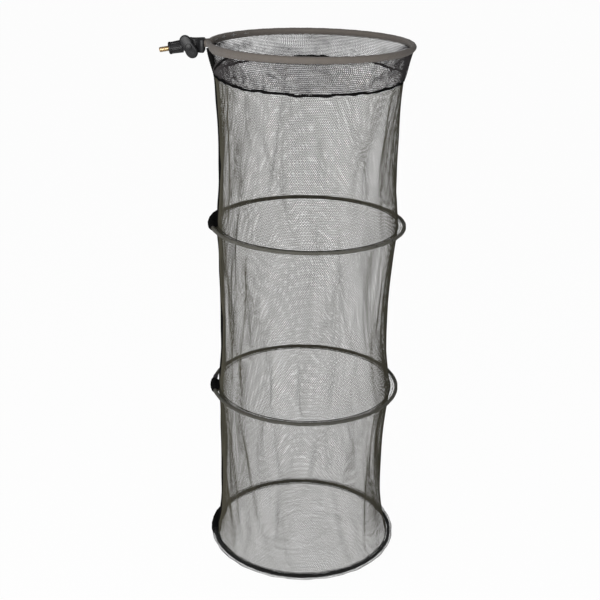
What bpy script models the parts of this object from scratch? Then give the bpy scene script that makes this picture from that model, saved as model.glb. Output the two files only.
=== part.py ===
"""Keep net: a round net on four hoops, hung from a tilting head with a brass stud.

Frame: metres, +Z up. The origin is on the stud's axis, at the shoulder that a
bank stick seats against. +X runs from the stud towards the rings' axis.
"""

import math
from collections import namedtuple

import bmesh
import bpy
from mathutils import Matrix, Vector

# Fits and shading shared by all pieces
GAP = 0.0003
OVERRUN = 0.002
MERGE_SHARE = 0.1
ROUND_SIDES = 24
CREASE_DEGREES = 35.0
RIM_ANGLE = math.radians(60.0)

# Rings and their spacing
RING_RADIUS = 0.1775
RING_SPACING = 0.325
RING_NAMES = ("ring_2", "ring_3", "base")
COLUMNS = 26
COLUMN_STEP = 2.0 * math.pi / COLUMNS
HEAD_SIDE = math.pi

# Top ring: a bent alloy tube whose ends run side by side into the head
TOP_TUBE_RADIUS = 0.004
TOP_TUBE_WALL = 0.001
TOP_TUBE_SIDES = 8
TOP_ARC_STEPS = 30
TOP_SLEEVE_WALL = 0.0008
TOP_END_OFFSET = 0.009
TOP_BEND_RADIUS = 0.010
TOP_BEND_STEPS = 5
TOP_END_DEPTH = 0.0095

# Lower hoops: plastic-coated rod, closed by a ferrule, in a folded tape sleeve
HOOP_RADIUS = 0.0026
HOOP_SIDES = 10
HOOP_END_GAP = 0.0012
SLEEVE_WALL = 0.0006
FERRULE_WALL = 0.0016
FIN_THICKNESS = 0.0012
FIN_ROOT_REACH = 0.0070

# Net wall, set in from the rings' centre line
NET_INSET = 0.0175
NET_WALL = 0.0010
NET_CREASE_DEGREES = 60.0
BASE_NET_WALL = 0.0012
BASE_GAP_WIDTH = 0.0315
BASE_STRAND_WIDTH = 0.0046
BASE_RIM_WIDTH = 0.0060
BASE_CELL_SHARE = 0.3
CELL_SIDES = 6

# Doubled hem under the top ring, its seam cord and its notch under the head
HEM_HEIGHT = 0.046
HEM_WALL = 0.0016
HEM_FOOT_INSET = 0.0120
HEM_FOLD_DEPTH = 0.0022
HEM_FOLD_COUNT = 8
HEM_ROWS = 3
CORD_RADIUS = 0.0013
CORD_SIDES = 6
NOTCH_HALF_WIDTH = 0.046
NOTCH_DEPTH = 0.038
BINDING_RADIUS = 0.0014
BINDING_STEPS = 12

# Bays of netting between the rings, top to bottom: draw is how far a bay is pulled in at its waist
BAY_1_DRAW = 0.0080
BAY_2_DRAW = 0.0030
BAY_3_DRAW = 0.0025
BAY_1_FOLD = 0.0040
BAY_2_FOLD = 0.0036
BAY_3_FOLD = 0.0042
Bay = namedtuple("Bay", "draw fold_depth fold_count top_power foot_power")
BAYS = (
    Bay(draw=BAY_1_DRAW, fold_depth=BAY_1_FOLD, fold_count=7, top_power=3.0, foot_power=5.0),
    Bay(draw=BAY_2_DRAW, fold_depth=BAY_2_FOLD, fold_count=8, top_power=4.0, foot_power=4.0),
    Bay(draw=BAY_3_DRAW, fold_depth=BAY_3_FOLD, fold_count=6, top_power=4.0, foot_power=5.0),
)
BAY_ROWS = 6
FINE_FOLD_SHARE = 0.4

# Openings of a bay: staggered rows of pointed hexagons, each two columns wide
BAY_EDGE_WIDTH = 0.0080
BAY_STRAND_WIDTH = 0.0095
BAY_CELL_ROWS = 4

# Tape over the side seam
TAPE_HALF_WIDTH = 0.004
TAPE_WALL = 0.0012
TAB_HALF_WIDTH = 0.0135
TAB_POWER = 7.0

# Stud and its holder
STUD_DROOP = math.radians(10.0)
HINGE_REACH = 0.0375
STUD_RADIUS = 0.00476
STUD_LENGTH = 0.017
STUD_CHAMFER = 0.0010
STUD_SHANK_LENGTH = 0.018
BARREL_RADIUS = 0.0100
BARREL_FOOT_RADIUS = 0.0112
COLLAR_RADIUS = 0.0108
COLLAR_LENGTH = 0.0050
COLLAR_CHAMFER = 0.0010
BARREL_CLEARANCE = 0.0015
BRIDGE_HALF_HEIGHT = 0.0080
FLUTE_RADIUS = 0.0016
FLUTE_COUNT = 12
FLUTE_SIDES = 8
FLUTE_OUT_SHARE = 0.5
FLUTE_END_MARGIN = 0.0030

# Tilting joint, measured from the middle of the lug outwards along Y
HINGE_TO_RING = 0.0346
DISC_RADIUS = 0.0120
DISC_CLEARANCE = 0.0010
LUG_HALF_THICKNESS = 0.0045
FRICTION_WASHER = 0.0010
FRICTION_WASHER_RADIUS = 0.0105
EAR_THICKNESS = 0.0050
EAR_STEP = 0.0005
BOSS_HEIGHT = 0.0040
BOSS_RADIUS = 0.0090
BOLT_RADIUS = 0.0030
BOLT_HEAD_FLATS = 0.0100
BOLT_HEAD_HEIGHT = 0.0040
BOLT_HEAD_SINK = 0.0006
BOLT_HEAD_SIDES = 6

# Ring head block
BLOCK_HALF_WIDTH = 0.0162
BLOCK_HALF_HEIGHT = 0.0115
SOCKET_RISE = 0.0050
BLOCK_BEVEL = 0.0018
BLOCK_WAIST_SHARE = 0.42
BLOCK_SHOULDER_SHARE = 0.74
PANEL_DEPTH = 0.0008
PANEL_MARGIN = 0.0034
SCREW_RADIUS = 0.0014
SCREW_HEAD_RADIUS = 0.0026
SCREW_HEAD_HEIGHT = 0.0016
SCREW_SIDES = 12
SCREW_SHARE = 0.45
SCREW_COVER = 0.0012

# Wing knob
KNOB_WASHER = 0.0012
KNOB_WASHER_RADIUS = 0.0080
KNOB_HUB_RADIUS = 0.0082
KNOB_FACE_RADIUS = 0.0070
KNOB_HUB_HEIGHT = 0.0060
KNOB_WING_HEIGHT = 0.0085
KNOB_SPAN = 0.0430
KNOB_WAIST_RADIUS = 0.0094
KNOB_LOBE_POWER = 2.4
KNOB_BEVEL = 0.0022
KNOB_CAP_RADIUS = 0.0062
KNOB_CAP_HEIGHT = 0.0018
KNOB_CAP_TAPER = 0.0012
KNOB_ANGLE = math.radians(122.0)
KNOB_POINTS = 40
INSERT_RADIUS = 0.0048
INSERT_LENGTH = 0.0090

# Places worked out from the sizes above
STUD_AXIS = Vector((-math.cos(STUD_DROOP), 0.0, -math.sin(STUD_DROOP)))
HINGE = -STUD_AXIS * HINGE_REACH
NET_RADIUS = RING_RADIUS - NET_INSET
HEM_FOOT_RADIUS = RING_RADIUS - HEM_FOOT_INSET
RING_X = HINGE.x + HINGE_TO_RING + RING_RADIUS
RING_Z = HINGE.z + SOCKET_RISE
RING_HEIGHTS = [RING_Z - RING_SPACING * step for step in range(len(RING_NAMES) + 1)]
EAR_INNER = LUG_HALF_THICKNESS + FRICTION_WASHER + 2.0 * GAP
EAR_OUTER = EAR_INNER + EAR_THICKNESS
BOLT_HEAD_FLOOR = EAR_OUTER + BOSS_HEIGHT - BOLT_HEAD_HEIGHT - BOLT_HEAD_SINK
KNOB_SEAT = EAR_OUTER + KNOB_WASHER + 2.0 * GAP
KNOB_TOP = KNOB_SEAT + KNOB_HUB_HEIGHT + KNOB_WING_HEIGHT
CORNER = math.cos(math.pi / TOP_TUBE_SIDES)
HOOP_CORNER = math.cos(math.pi / HOOP_SIDES)
TOP_SLEEVE_RADIUS = TOP_TUBE_RADIUS + (GAP + TOP_SLEEVE_WALL) / CORNER
HOOP_BORE_RADIUS = HOOP_RADIUS + GAP / HOOP_CORNER
SLEEVE_RADIUS = HOOP_BORE_RADIUS + SLEEVE_WALL / HOOP_CORNER
FERRULE_RADIUS = HOOP_BORE_RADIUS + FERRULE_WALL / HOOP_CORNER
HALF_COLUMN = 0.5 * COLUMN_STEP
HEM_TOP_Z = RING_Z - TOP_SLEEVE_RADIUS - GAP
HEM_FOOT_Z = HEM_TOP_Z - HEM_HEIGHT
BAY_1_TOP_Z = HEM_FOOT_Z - 2.0 * (CORD_RADIUS + GAP)
BEND_CENTRE_Y = TOP_END_OFFSET + TOP_BEND_RADIUS
BEND_CENTRE_X = -math.sqrt((RING_RADIUS + TOP_BEND_RADIUS) ** 2 - BEND_CENTRE_Y ** 2)
BEND_LEAVE = math.atan2(BEND_CENTRE_Y, -BEND_CENTRE_X)
COLUMN_WIDTH = NET_RADIUS * COLUMN_STEP
BLOCK_FACE = RING_X + BEND_CENTRE_X
BLOCK_LENGTH = BLOCK_FACE - HINGE.x
SLOT_RADIUS = max(DISC_RADIUS, math.hypot(BRIDGE_HALF_HEIGHT, BLOCK_HALF_HEIGHT)) + DISC_CLEARANCE
SCREW_X = BLOCK_FACE - TOP_END_DEPTH * (1.0 - SCREW_SHARE)
SCREW_FOOT_Z = HINGE.z - BLOCK_HALF_HEIGHT
SCREW_TOP_Z = HINGE.z + BLOCK_HALF_HEIGHT - SCREW_COVER


def clear_scene():
    """Remove every object that the file opened with."""
    for old in list(bpy.data.objects):
        bpy.data.objects.remove(old, do_unlink=True)


def make_material(name, colour, roughness, metallic=0.0):
    """One Principled material for one finish."""
    finish = bpy.data.materials.new(name)
    finish.use_nodes = True
    shader = finish.node_tree.nodes["Principled BSDF"]
    shader.inputs["Base Color"].default_value = (*colour, 1.0)
    shader.inputs["Roughness"].default_value = roughness
    shader.inputs["Metallic"].default_value = metallic
    return finish


def place(name, data, finish, parent=None, location=(0.0, 0.0, 0.0)):
    """Link an object for one piece and give it its material."""
    piece = bpy.data.objects.new(name, data)
    bpy.context.collection.objects.link(piece)
    piece.location = location
    if parent is not None:
        piece.parent = parent
    if finish is not None:
        data.materials.append(finish)
    return piece


def add_frame(name, location, rotation=(0.0, 0.0, 0.0)):
    """Empty that stands on a joint's axis and carries its pieces."""
    frame = bpy.data.objects.new(name, None)
    bpy.context.collection.objects.link(frame)
    frame.location = location
    frame.rotation_euler = rotation
    return frame


def add_solid(name, bm, finish, parent=None, location=(0.0, 0.0, 0.0), crease=CREASE_DEGREES):
    """Turn a bmesh into a named piece, smooth apart from its sharp edges."""
    bmesh.ops.recalc_face_normals(bm, faces=bm.faces)
    mesh = bpy.data.meshes.new(name)
    bm.to_mesh(mesh)
    bm.free()
    mesh.shade_smooth()
    mesh.set_sharp_from_angle(angle=math.radians(crease))
    return place(name, mesh, finish, parent, location)


def hide_tool(tool):
    """Mark a cutter or a guide, which isn't a piece."""
    tool.hide_render = True
    tool.display_type = 'WIRE'


def combine(piece, bm, operation, parent=None):
    """Cut a shape out of a piece or join it to the piece."""
    tool = add_solid(f"{piece.name}_{operation.lower()}", bm, None, parent)
    hide_tool(tool)
    step = piece.modifiers.new(operation.title(), 'BOOLEAN')
    step.operation = operation
    step.solver = 'EXACT'
    step.object = tool


def turned_to(axis):
    """Rotation that takes +Z to the named axis."""
    turns = {'X': Matrix.Rotation(math.pi / 2.0, 4, 'Y'), 'Y': Matrix.Rotation(-math.pi / 2.0, 4, 'X')}
    return turns.get(axis, Matrix.Identity(4))


def side_towards(azimuth, sides):
    """Turn that brings the middle of one side of a polygon to an azimuth."""
    return Matrix.Rotation(azimuth - math.pi / sides - 0.5 * math.pi, 4, 'Z')


def add_cone(bm, axis, start, end, radius_start, radius_end, offset=(0.0, 0.0, 0.0), sides=ROUND_SIDES):
    """Cylinder or cone along an axis, between two places on it."""
    turn = turned_to(axis)
    middle = turn @ Vector((0.0, 0.0, 0.5 * (start + end)))
    half_side = Matrix.Rotation(math.pi / sides, 4, 'Z')
    made = bmesh.ops.create_cone(
        bm, cap_ends=True, segments=sides, radius1=radius_start, radius2=radius_end,
        depth=end - start, matrix=Matrix.Translation(middle + Vector(offset)) @ turn @ half_side)
    return made["verts"]


def cylinder(axis, start, end, radius, offset=(0.0, 0.0, 0.0), sides=ROUND_SIDES):
    """A new bmesh that holds one cylinder."""
    bm = bmesh.new()
    add_cone(bm, axis, start, end, radius, radius, offset, sides)
    return bm


def box(low, high):
    """A new bmesh that holds one box between two corners."""
    bm = bmesh.new()
    low = Vector(low)
    high = Vector(high)
    size = high - low
    spot = Matrix.Translation(0.5 * (low + high)) @ Matrix.Diagonal((*size, 1.0))
    bmesh.ops.create_cube(bm, size=1.0, matrix=spot)
    return bm


def washer(name, thickness, radius, bore, start, finish, parent):
    """Flat washer along Y, from its lower face."""
    piece = add_solid(name, cylinder('Y', start, start + thickness, radius), finish, parent)
    combine(piece, cylinder('Y', start - OVERRUN, start + thickness + OVERRUN, bore), 'DIFFERENCE', parent)
    return piece


def bevel_edges(bm, edges, width, segments=2):
    """Round the given edges."""
    bmesh.ops.bevel(bm, geom=edges, offset=width, affect='EDGES', segments=segments, profile=0.5, material=-1)


def tube_along(name, points, radius, sides, finish, wall=0.0, closed=False, parent=None):
    """Tube or rod along a run of points, as a bevelled curve."""
    curve = bpy.data.curves.new(name, 'CURVE')
    curve.dimensions = '3D'
    curve.bevel_depth = radius
    curve.bevel_resolution = sides // 2 - 2
    curve.use_fill_caps = wall == 0.0 and not closed
    spline = curve.splines.new('POLY')
    spline.points.add(len(points) - 1)
    for knot, point in zip(spline.points, points):
        knot.co = (*point, 1.0)
    spline.use_cyclic_u = closed
    spline.use_smooth = True
    piece = place(name, curve, finish, parent)
    if wall:
        shell = piece.modifiers.new("Wall", 'SOLIDIFY')
        shell.thickness = wall
        shell.offset = -1.0
        shell.use_even_offset = True
    return piece


def bake_to_mesh(piece):
    """Swap a curve piece for its mesh, so that holes can be cut in it."""
    bpy.context.view_layer.update()
    seen = piece.evaluated_get(bpy.context.evaluated_depsgraph_get())
    mesh = bpy.data.meshes.new_from_object(seen)
    name, finish = piece.name, piece.data.materials[0]
    bpy.data.objects.remove(piece, do_unlink=True)
    mesh.name = name
    bm = bmesh.new()
    bm.from_mesh(mesh)
    bmesh.ops.remove_doubles(bm, verts=bm.verts, dist=GAP * MERGE_SHARE)
    return add_solid(name, bm, finish)


def fold(azimuth, count):
    """Wave of the cloth round the net, still at the side seam."""
    turn = azimuth - HEAD_SIDE
    calm = math.sin(0.5 * turn) ** 2
    wave = math.sin(count * turn) + FINE_FOLD_SHARE * math.sin((count + 3) * turn + 1.0)
    return calm * wave


def hem_radius(share, azimuth):
    """Outer radius of the hem, at a share of its height down from the ring."""
    top = RING_RADIUS + 0.5 * HEM_WALL
    foot = HEM_FOOT_RADIUS + HEM_FOLD_DEPTH * fold(azimuth, HEM_FOLD_COUNT)
    return top + (foot - top) * share


def bay_radius(index, share, azimuth):
    """Outer radius of a bay, at a share of its height down from its top."""
    bay = BAYS[index]
    waist = NET_RADIUS - bay.draw
    top = hem_radius(1.0, azimuth) if index == 0 else NET_RADIUS
    flare = (top - waist) * (1.0 - share) ** bay.top_power
    foot = bay.draw * share ** bay.foot_power
    wave = bay.fold_depth * math.sin(math.pi * share) * fold(azimuth, bay.fold_count)
    return waist + flare + foot + wave


def shares(rows):
    """Even steps from 0 to 1."""
    return [row / rows for row in range(rows + 1)]


def turned_shell(heights, radius_at, wall):
    """Closed wall round the net's axis, drawn row by row down the outside and up the inside."""
    rows = [(z, share, 0.0) for share, z in heights]
    rows += [(z, share, wall) for share, z in reversed(heights)]
    bm = bmesh.new()
    bmesh.ops.create_circle(
        bm, cap_ends=False, segments=COLUMNS, radius=RING_RADIUS, matrix=side_towards(HEAD_SIDE, COLUMNS))
    loop = bm.edges[:]
    first = loop
    for number, (z, share, inset) in enumerate(rows):
        if number:
            made = bmesh.ops.extrude_edge_only(bm, edges=loop)["geom"]
            loop = [item for item in made if isinstance(item, bmesh.types.BMEdge)]
        for vertex in {vertex for edge in loop for vertex in edge.verts}:
            azimuth = math.atan2(vertex.co.y, vertex.co.x) % (2.0 * math.pi)
            radius = radius_at(share, azimuth) - inset
            vertex.co = (radius * math.cos(azimuth), radius * math.sin(azimuth), z)
    bmesh.ops.bridge_loops(bm, edges=first + loop)
    return bm


def top_ring_arc():
    """Points on the top ring's circle, from one bend round to the other."""
    start = HEAD_SIDE + BEND_LEAVE
    sweep = 2.0 * (math.pi - BEND_LEAVE)
    points = []
    for step in shares(TOP_ARC_STEPS):
        azimuth = start + sweep * step
        points.append((RING_X + RING_RADIUS * math.cos(azimuth), RING_RADIUS * math.sin(azimuth), RING_Z))
    return points


def top_ring_end(side):
    """Points of one end, from the socket through the bend, short of the circle."""
    points = [(BLOCK_FACE - TOP_END_DEPTH, side * TOP_END_OFFSET, RING_Z)]
    for step in range(TOP_BEND_STEPS):
        angle = (0.5 * math.pi - BEND_LEAVE) * step / TOP_BEND_STEPS
        x = BLOCK_FACE + TOP_BEND_RADIUS * math.sin(angle)
        y = BEND_CENTRE_Y - TOP_BEND_RADIUS * math.cos(angle)
        points.append((x, side * y, RING_Z))
    return points


def build_top_ring(metal, fabric):
    """Bent tube with its sleeve of folded hem cloth."""
    arc = top_ring_arc()
    route = top_ring_end(-1.0) + arc + top_ring_end(1.0)[::-1]
    tube = tube_along("top_ring_tube", route, TOP_TUBE_RADIUS, TOP_TUBE_SIDES, metal, wall=TOP_TUBE_WALL)
    tube = bake_to_mesh(tube)
    for side in (-1.0, 1.0):
        hole = cylinder('Z', SCREW_FOOT_Z, SCREW_TOP_Z, SCREW_RADIUS + GAP,
                        offset=(SCREW_X, side * TOP_END_OFFSET, 0.0), sides=SCREW_SIDES)
        combine(tube, hole, 'DIFFERENCE')
    tube_along("top_ring_sleeve", arc, TOP_SLEEVE_RADIUS, TOP_TUBE_SIDES, fabric, wall=TOP_SLEEVE_WALL)


def part_turn(bm, start, sweeps):
    """Sweep the profile that stands at azimuth 0 round the axis, through pairs of angle and steps."""
    bmesh.ops.rotate(bm, verts=bm.verts, cent=(0.0, 0.0, 0.0), matrix=Matrix.Rotation(start, 3, 'Z'))
    leading = bm.faces[:]
    for number, (sweep, steps) in enumerate(sweeps):
        made = bmesh.ops.spin(
            bm, geom=leading, cent=(0.0, 0.0, 0.0), axis=(0.0, 0.0, 1.0), angle=sweep, steps=steps)
        if number:
            bmesh.ops.delete(bm, geom=leading, context='FACES_ONLY')
        leading = [item for item in made["geom_last"] if isinstance(item, bmesh.types.BMFace)]


def add_profile_circle(bm, radius, cap):
    """Circle of the hoop's section, standing across the ring at azimuth 0."""
    stand = Matrix.Translation((RING_RADIUS, 0.0, 0.0)) @ Matrix.Rotation(math.pi / 2.0, 4, 'X')
    made = bmesh.ops.create_circle(bm, cap_ends=cap, segments=HOOP_SIDES, radius=radius,
                                   matrix=stand @ side_towards(math.pi, HOOP_SIDES))
    return made["verts"]


def ring_tube(outer_radius, bore_radius, fin, start, sweep, steps):
    """Part turn of a bored section, with an optional flat fin on its inner side."""
    bm = bmesh.new()
    rim = add_profile_circle(bm, outer_radius, False)
    if fin:
        inward = sorted(rim, key=lambda vertex: vertex.co.x)
        for vertex in inward[:4]:
            vertex.co.z = math.copysign(0.5 * FIN_THICKNESS, vertex.co.z)
        for vertex in inward[:2]:
            vertex.co.x = NET_RADIUS + GAP
        for vertex in inward[2:4]:
            vertex.co.x = RING_RADIUS - FIN_ROOT_REACH
    add_profile_circle(bm, bore_radius, False)
    bmesh.ops.bridge_loops(bm, edges=bm.edges[:])
    part_turn(bm, start, [(sweep, steps)])
    return bm


def build_lower_ring(name, frame, rod, cover, joiner):
    """Hoop, the ferrule over its ends and the tape sleeve that holds it to the net."""
    bm = bmesh.new()
    add_profile_circle(bm, HOOP_RADIUS, True)
    end_angle = 0.5 * HOOP_END_GAP / RING_RADIUS
    end_sweep = (HALF_COLUMN - end_angle, 1)
    part_turn(bm, HEAD_SIDE + end_angle, [end_sweep, (2.0 * math.pi - COLUMN_STEP, COLUMNS - 1), end_sweep])
    add_solid(f"{name}_hoop", bm, rod, frame)
    ferrule = ring_tube(FERRULE_RADIUS, HOOP_BORE_RADIUS, False, HEAD_SIDE - HALF_COLUMN, COLUMN_STEP, 2)
    add_solid(f"{name}_ferrule", ferrule, joiner, frame)
    slip = GAP / RING_RADIUS
    start = HEAD_SIDE + HALF_COLUMN + slip
    sweep = 2.0 * math.pi - COLUMN_STEP - 2.0 * slip
    sleeve = ring_tube(SLEEVE_RADIUS, HOOP_BORE_RADIUS, True, start, sweep, COLUMNS - 1)
    add_solid(f"{name}_sleeve", sleeve, cover, frame)


def build_hem(fabric, cord_fabric):
    """Doubled hem with its notch under the head, the seam cord and the notch binding."""
    heights = [(share, HEM_TOP_Z - HEM_HEIGHT * share) for share in shares(HEM_ROWS)]
    hem = add_solid("hem_band", turned_shell(heights, hem_radius, HEM_WALL), fabric,
                    location=(RING_X, 0.0, 0.0))
    tip = HEM_TOP_Z - NOTCH_DEPTH
    slope = NOTCH_DEPTH / NOTCH_HALF_WIDTH
    mouth = NOTCH_HALF_WIDTH + OVERRUN / slope
    wedge = bmesh.new()
    corners = [(0.0, tip), (mouth, HEM_TOP_Z + OVERRUN), (-mouth, HEM_TOP_Z + OVERRUN)]
    near = RING_X - RING_RADIUS - HEM_WALL - OVERRUN
    ring = [wedge.verts.new((near, y, z)) for y, z in corners]
    face = wedge.faces.new(ring)
    made = bmesh.ops.extrude_face_region(wedge, geom=[face])["geom"]
    moved = [item for item in made if isinstance(item, bmesh.types.BMVert)]
    bmesh.ops.translate(wedge, verts=moved, vec=(RING_RADIUS, 0.0, 0.0))
    combine(hem, wedge, 'DIFFERENCE')

    cord = []
    for column in range(COLUMNS):
        azimuth = HALF_COLUMN + COLUMN_STEP * column
        radius = hem_radius(1.0, azimuth) - CORD_RADIUS
        x = RING_X + radius * math.cos(azimuth)
        cord.append((x, radius * math.sin(azimuth), HEM_FOOT_Z - CORD_RADIUS - GAP))
    tube_along("seam_cord", cord, CORD_RADIUS, CORD_SIDES, cord_fabric, closed=True)

    low = tip + (BINDING_RADIUS + GAP) * math.hypot(1.0, slope)
    half = (HEM_TOP_Z - BINDING_RADIUS - low) / slope
    route = []
    for step in shares(BINDING_STEPS):
        y = 2.0 * half * step - half
        z = low + slope * abs(y)
        share = (HEM_TOP_Z - z) / HEM_HEIGHT
        radius = hem_radius(share, HEAD_SIDE) * math.cos(HALF_COLUMN) - BINDING_RADIUS
        route.append((RING_X - math.sqrt(radius ** 2 - y ** 2), y, z))
    tube_along("notch_binding", route, BINDING_RADIUS, CORD_SIDES, cord_fabric)


def bay_heights(index):
    """Rows of a bay as pairs of share and height, top to bottom."""
    top = BAY_1_TOP_Z if index == 0 else RING_HEIGHTS[index] - 0.5 * GAP
    foot = RING_HEIGHTS[index + 1] + 0.5 * GAP
    if index == len(BAYS) - 1:
        foot = RING_HEIGHTS[index + 1] + 0.5 * BASE_NET_WALL + GAP
    return [(share, top + (foot - top) * share) for share in shares(BAY_ROWS)]


def flat_bay(height):
    """A bay's wall unrolled: X runs round the net and Y down it, without the column at the side seam."""
    bm = bmesh.new()
    bmesh.ops.create_grid(bm, x_segments=COLUMNS - 1, y_segments=BAY_ROWS, size=0.5)
    inside = [vertex for vertex in bm.verts if not vertex.is_boundary]
    bmesh.ops.delete(bm, geom=inside, context='VERTS')
    bmesh.ops.translate(bm, verts=bm.verts, vec=(0.5, 0.5, 0.0))
    bmesh.ops.scale(bm, verts=bm.verts, vec=((COLUMNS - 1) * COLUMN_WIDTH, height, 1.0))

    reach = (height - 2.0 * BAY_EDGE_WIDTH) / (1.5 * BAY_CELL_ROWS + 0.5)
    slant = math.hypot(COLUMN_WIDTH, 0.5 * reach) / COLUMN_WIDTH
    wide = (COLUMN_WIDTH - 0.5 * BAY_STRAND_WIDTH) / math.cos(math.pi / CELL_SIDES)
    tall = reach - 0.5 * BAY_STRAND_WIDTH * slant
    for row in range(BAY_CELL_ROWS):
        for number in range((COLUMNS - 2) // 2):
            x = (2 * number + 1 + row % 2) * COLUMN_WIDTH
            y = BAY_EDGE_WIDTH + reach * (1.0 + 1.5 * row)
            spot = Matrix.Translation((x, y, 0.0)) @ Matrix.Diagonal((wide, tall, 1.0, 1.0))
            bmesh.ops.create_circle(bm, cap_ends=False, segments=CELL_SIDES, radius=1.0, matrix=spot)
    bmesh.ops.triangle_fill(bm, use_beauty=True, edges=bm.edges[:], normal=(0.0, 0.0, 1.0))
    return bm


def bay_wall(index, heights):
    """Wall of a bay, rolled round the axis, closed at the side seam and then thickened inwards."""
    top = heights[0][1]
    height = top - heights[-1][1]
    bm = flat_bay(height)
    far = (COLUMNS - 1) * COLUMN_WIDTH
    side = [edge for edge in bm.edges if all(abs(vertex.co.x - far) < GAP for vertex in edge.verts)]
    made = bmesh.ops.extrude_edge_only(bm, edges=side)["geom"]
    moved = [item for item in made if isinstance(item, bmesh.types.BMVert)]
    bmesh.ops.translate(bm, verts=moved, vec=(COLUMN_WIDTH, 0.0, 0.0))
    for vertex in bm.verts:
        azimuth = (HEAD_SIDE + HALF_COLUMN + vertex.co.x / NET_RADIUS) % (2.0 * math.pi)
        radius = bay_radius(index, vertex.co.y / height, azimuth)
        vertex.co = (radius * math.cos(azimuth), radius * math.sin(azimuth), top - vertex.co.y)
    bmesh.ops.remove_doubles(bm, verts=bm.verts, dist=GAP * MERGE_SHARE)
    made = bmesh.ops.extrude_face_region(bm, geom=bm.faces[:])["geom"]
    for vertex in (item for item in made if isinstance(item, bmesh.types.BMVert)):
        inner = 1.0 - NET_WALL / math.hypot(vertex.co.x, vertex.co.y)
        vertex.co = (vertex.co.x * inner, vertex.co.y * inner, vertex.co.z)
    return bm


def build_bay(index, netting, tape_fabric):
    """One bay of netting and the tape that covers its side seam."""
    heights = bay_heights(index)
    add_solid(f"net_bay_{index + 1}", bay_wall(index, heights), netting, location=(RING_X, 0.0, 0.0),
              crease=NET_CREASE_DEGREES)
    rows = [(z, bay_radius(index, share, HEAD_SIDE - HALF_COLUMN)) for share, z in heights]
    if index == 0:
        hem_rows = [(HEM_TOP_Z - HEM_HEIGHT * share, hem_radius(share, HEAD_SIDE - HALF_COLUMN))
                    for share in shares(HEM_ROWS)]
        rows = hem_rows + rows
    top = rows[0][0]
    length = top - rows[-1][0]
    bm = bmesh.new()
    bmesh.ops.create_grid(bm, x_segments=1, y_segments=len(rows) - 1, size=TAPE_HALF_WIDTH)
    columns = sorted(bm.verts, key=lambda vertex: (-vertex.co.y, vertex.co.x))
    for number, vertex in enumerate(columns):
        z, radius = rows[number // 2]
        half_width = TAPE_HALF_WIDTH
        if index == 0:
            half_width += (TAB_HALF_WIDTH - TAPE_HALF_WIDTH) * ((z - rows[-1][0]) / length) ** TAB_POWER
        side = 1.0 if number % 2 else -1.0
        vertex.co = (RING_X - radius * math.cos(HALF_COLUMN) - GAP, side * half_width, z)
    thicken(bm, (-TAPE_WALL, 0.0, 0.0))
    add_solid(f"side_seam_{index + 1}", bm, tape_fabric)


def thicken(bm, offset):
    """Give a sheet its thickness by extruding it one way."""
    made = bmesh.ops.extrude_face_region(bm, geom=bm.faces[:])["geom"]
    moved = [item for item in made if isinstance(item, bmesh.types.BMVert)]
    bmesh.ops.translate(bm, verts=moved, vec=offset)


def build_base_net(netting, frame):
    """Flat base panel with hexagonal gaps, cut short at its rim."""
    limit = NET_RADIUS * math.cos(HALF_COLUMN) - BASE_RIM_WIDTH
    pitch = BASE_GAP_WIDTH + BASE_STRAND_WIDTH
    row_pitch = pitch * math.sin(math.pi / 3.0)
    corner_radius = BASE_GAP_WIDTH / math.sqrt(3.0)
    reach = int(limit / row_pitch) + 1
    floor = Matrix.Translation((0.0, 0.0, -0.5 * BASE_NET_WALL))
    bm = bmesh.new()
    bmesh.ops.create_circle(bm, cap_ends=False, segments=COLUMNS, radius=NET_RADIUS,
                            matrix=floor @ side_towards(HEAD_SIDE, COLUMNS))
    for row in range(-reach, reach + 1):
        for column in range(-reach, reach + 1):
            spot = Vector((pitch * (column + 0.5 * (row % 2)), row_pitch * row, 0.0))
            if spot.length > limit - BASE_CELL_SHARE * corner_radius:
                continue
            made = bmesh.ops.create_circle(
                bm, cap_ends=False, segments=CELL_SIDES, radius=corner_radius,
                matrix=floor @ Matrix.Translation(spot))
            for vertex in made["verts"]:
                pull = min(1.0, limit / math.hypot(vertex.co.x, vertex.co.y))
                vertex.co.x *= pull
                vertex.co.y *= pull
    bmesh.ops.triangle_fill(bm, use_beauty=True, edges=bm.edges[:], normal=(0.0, 0.0, 1.0))
    thicken(bm, (0.0, 0.0, BASE_NET_WALL))
    add_solid("base_net", bm, netting, frame)


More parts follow.
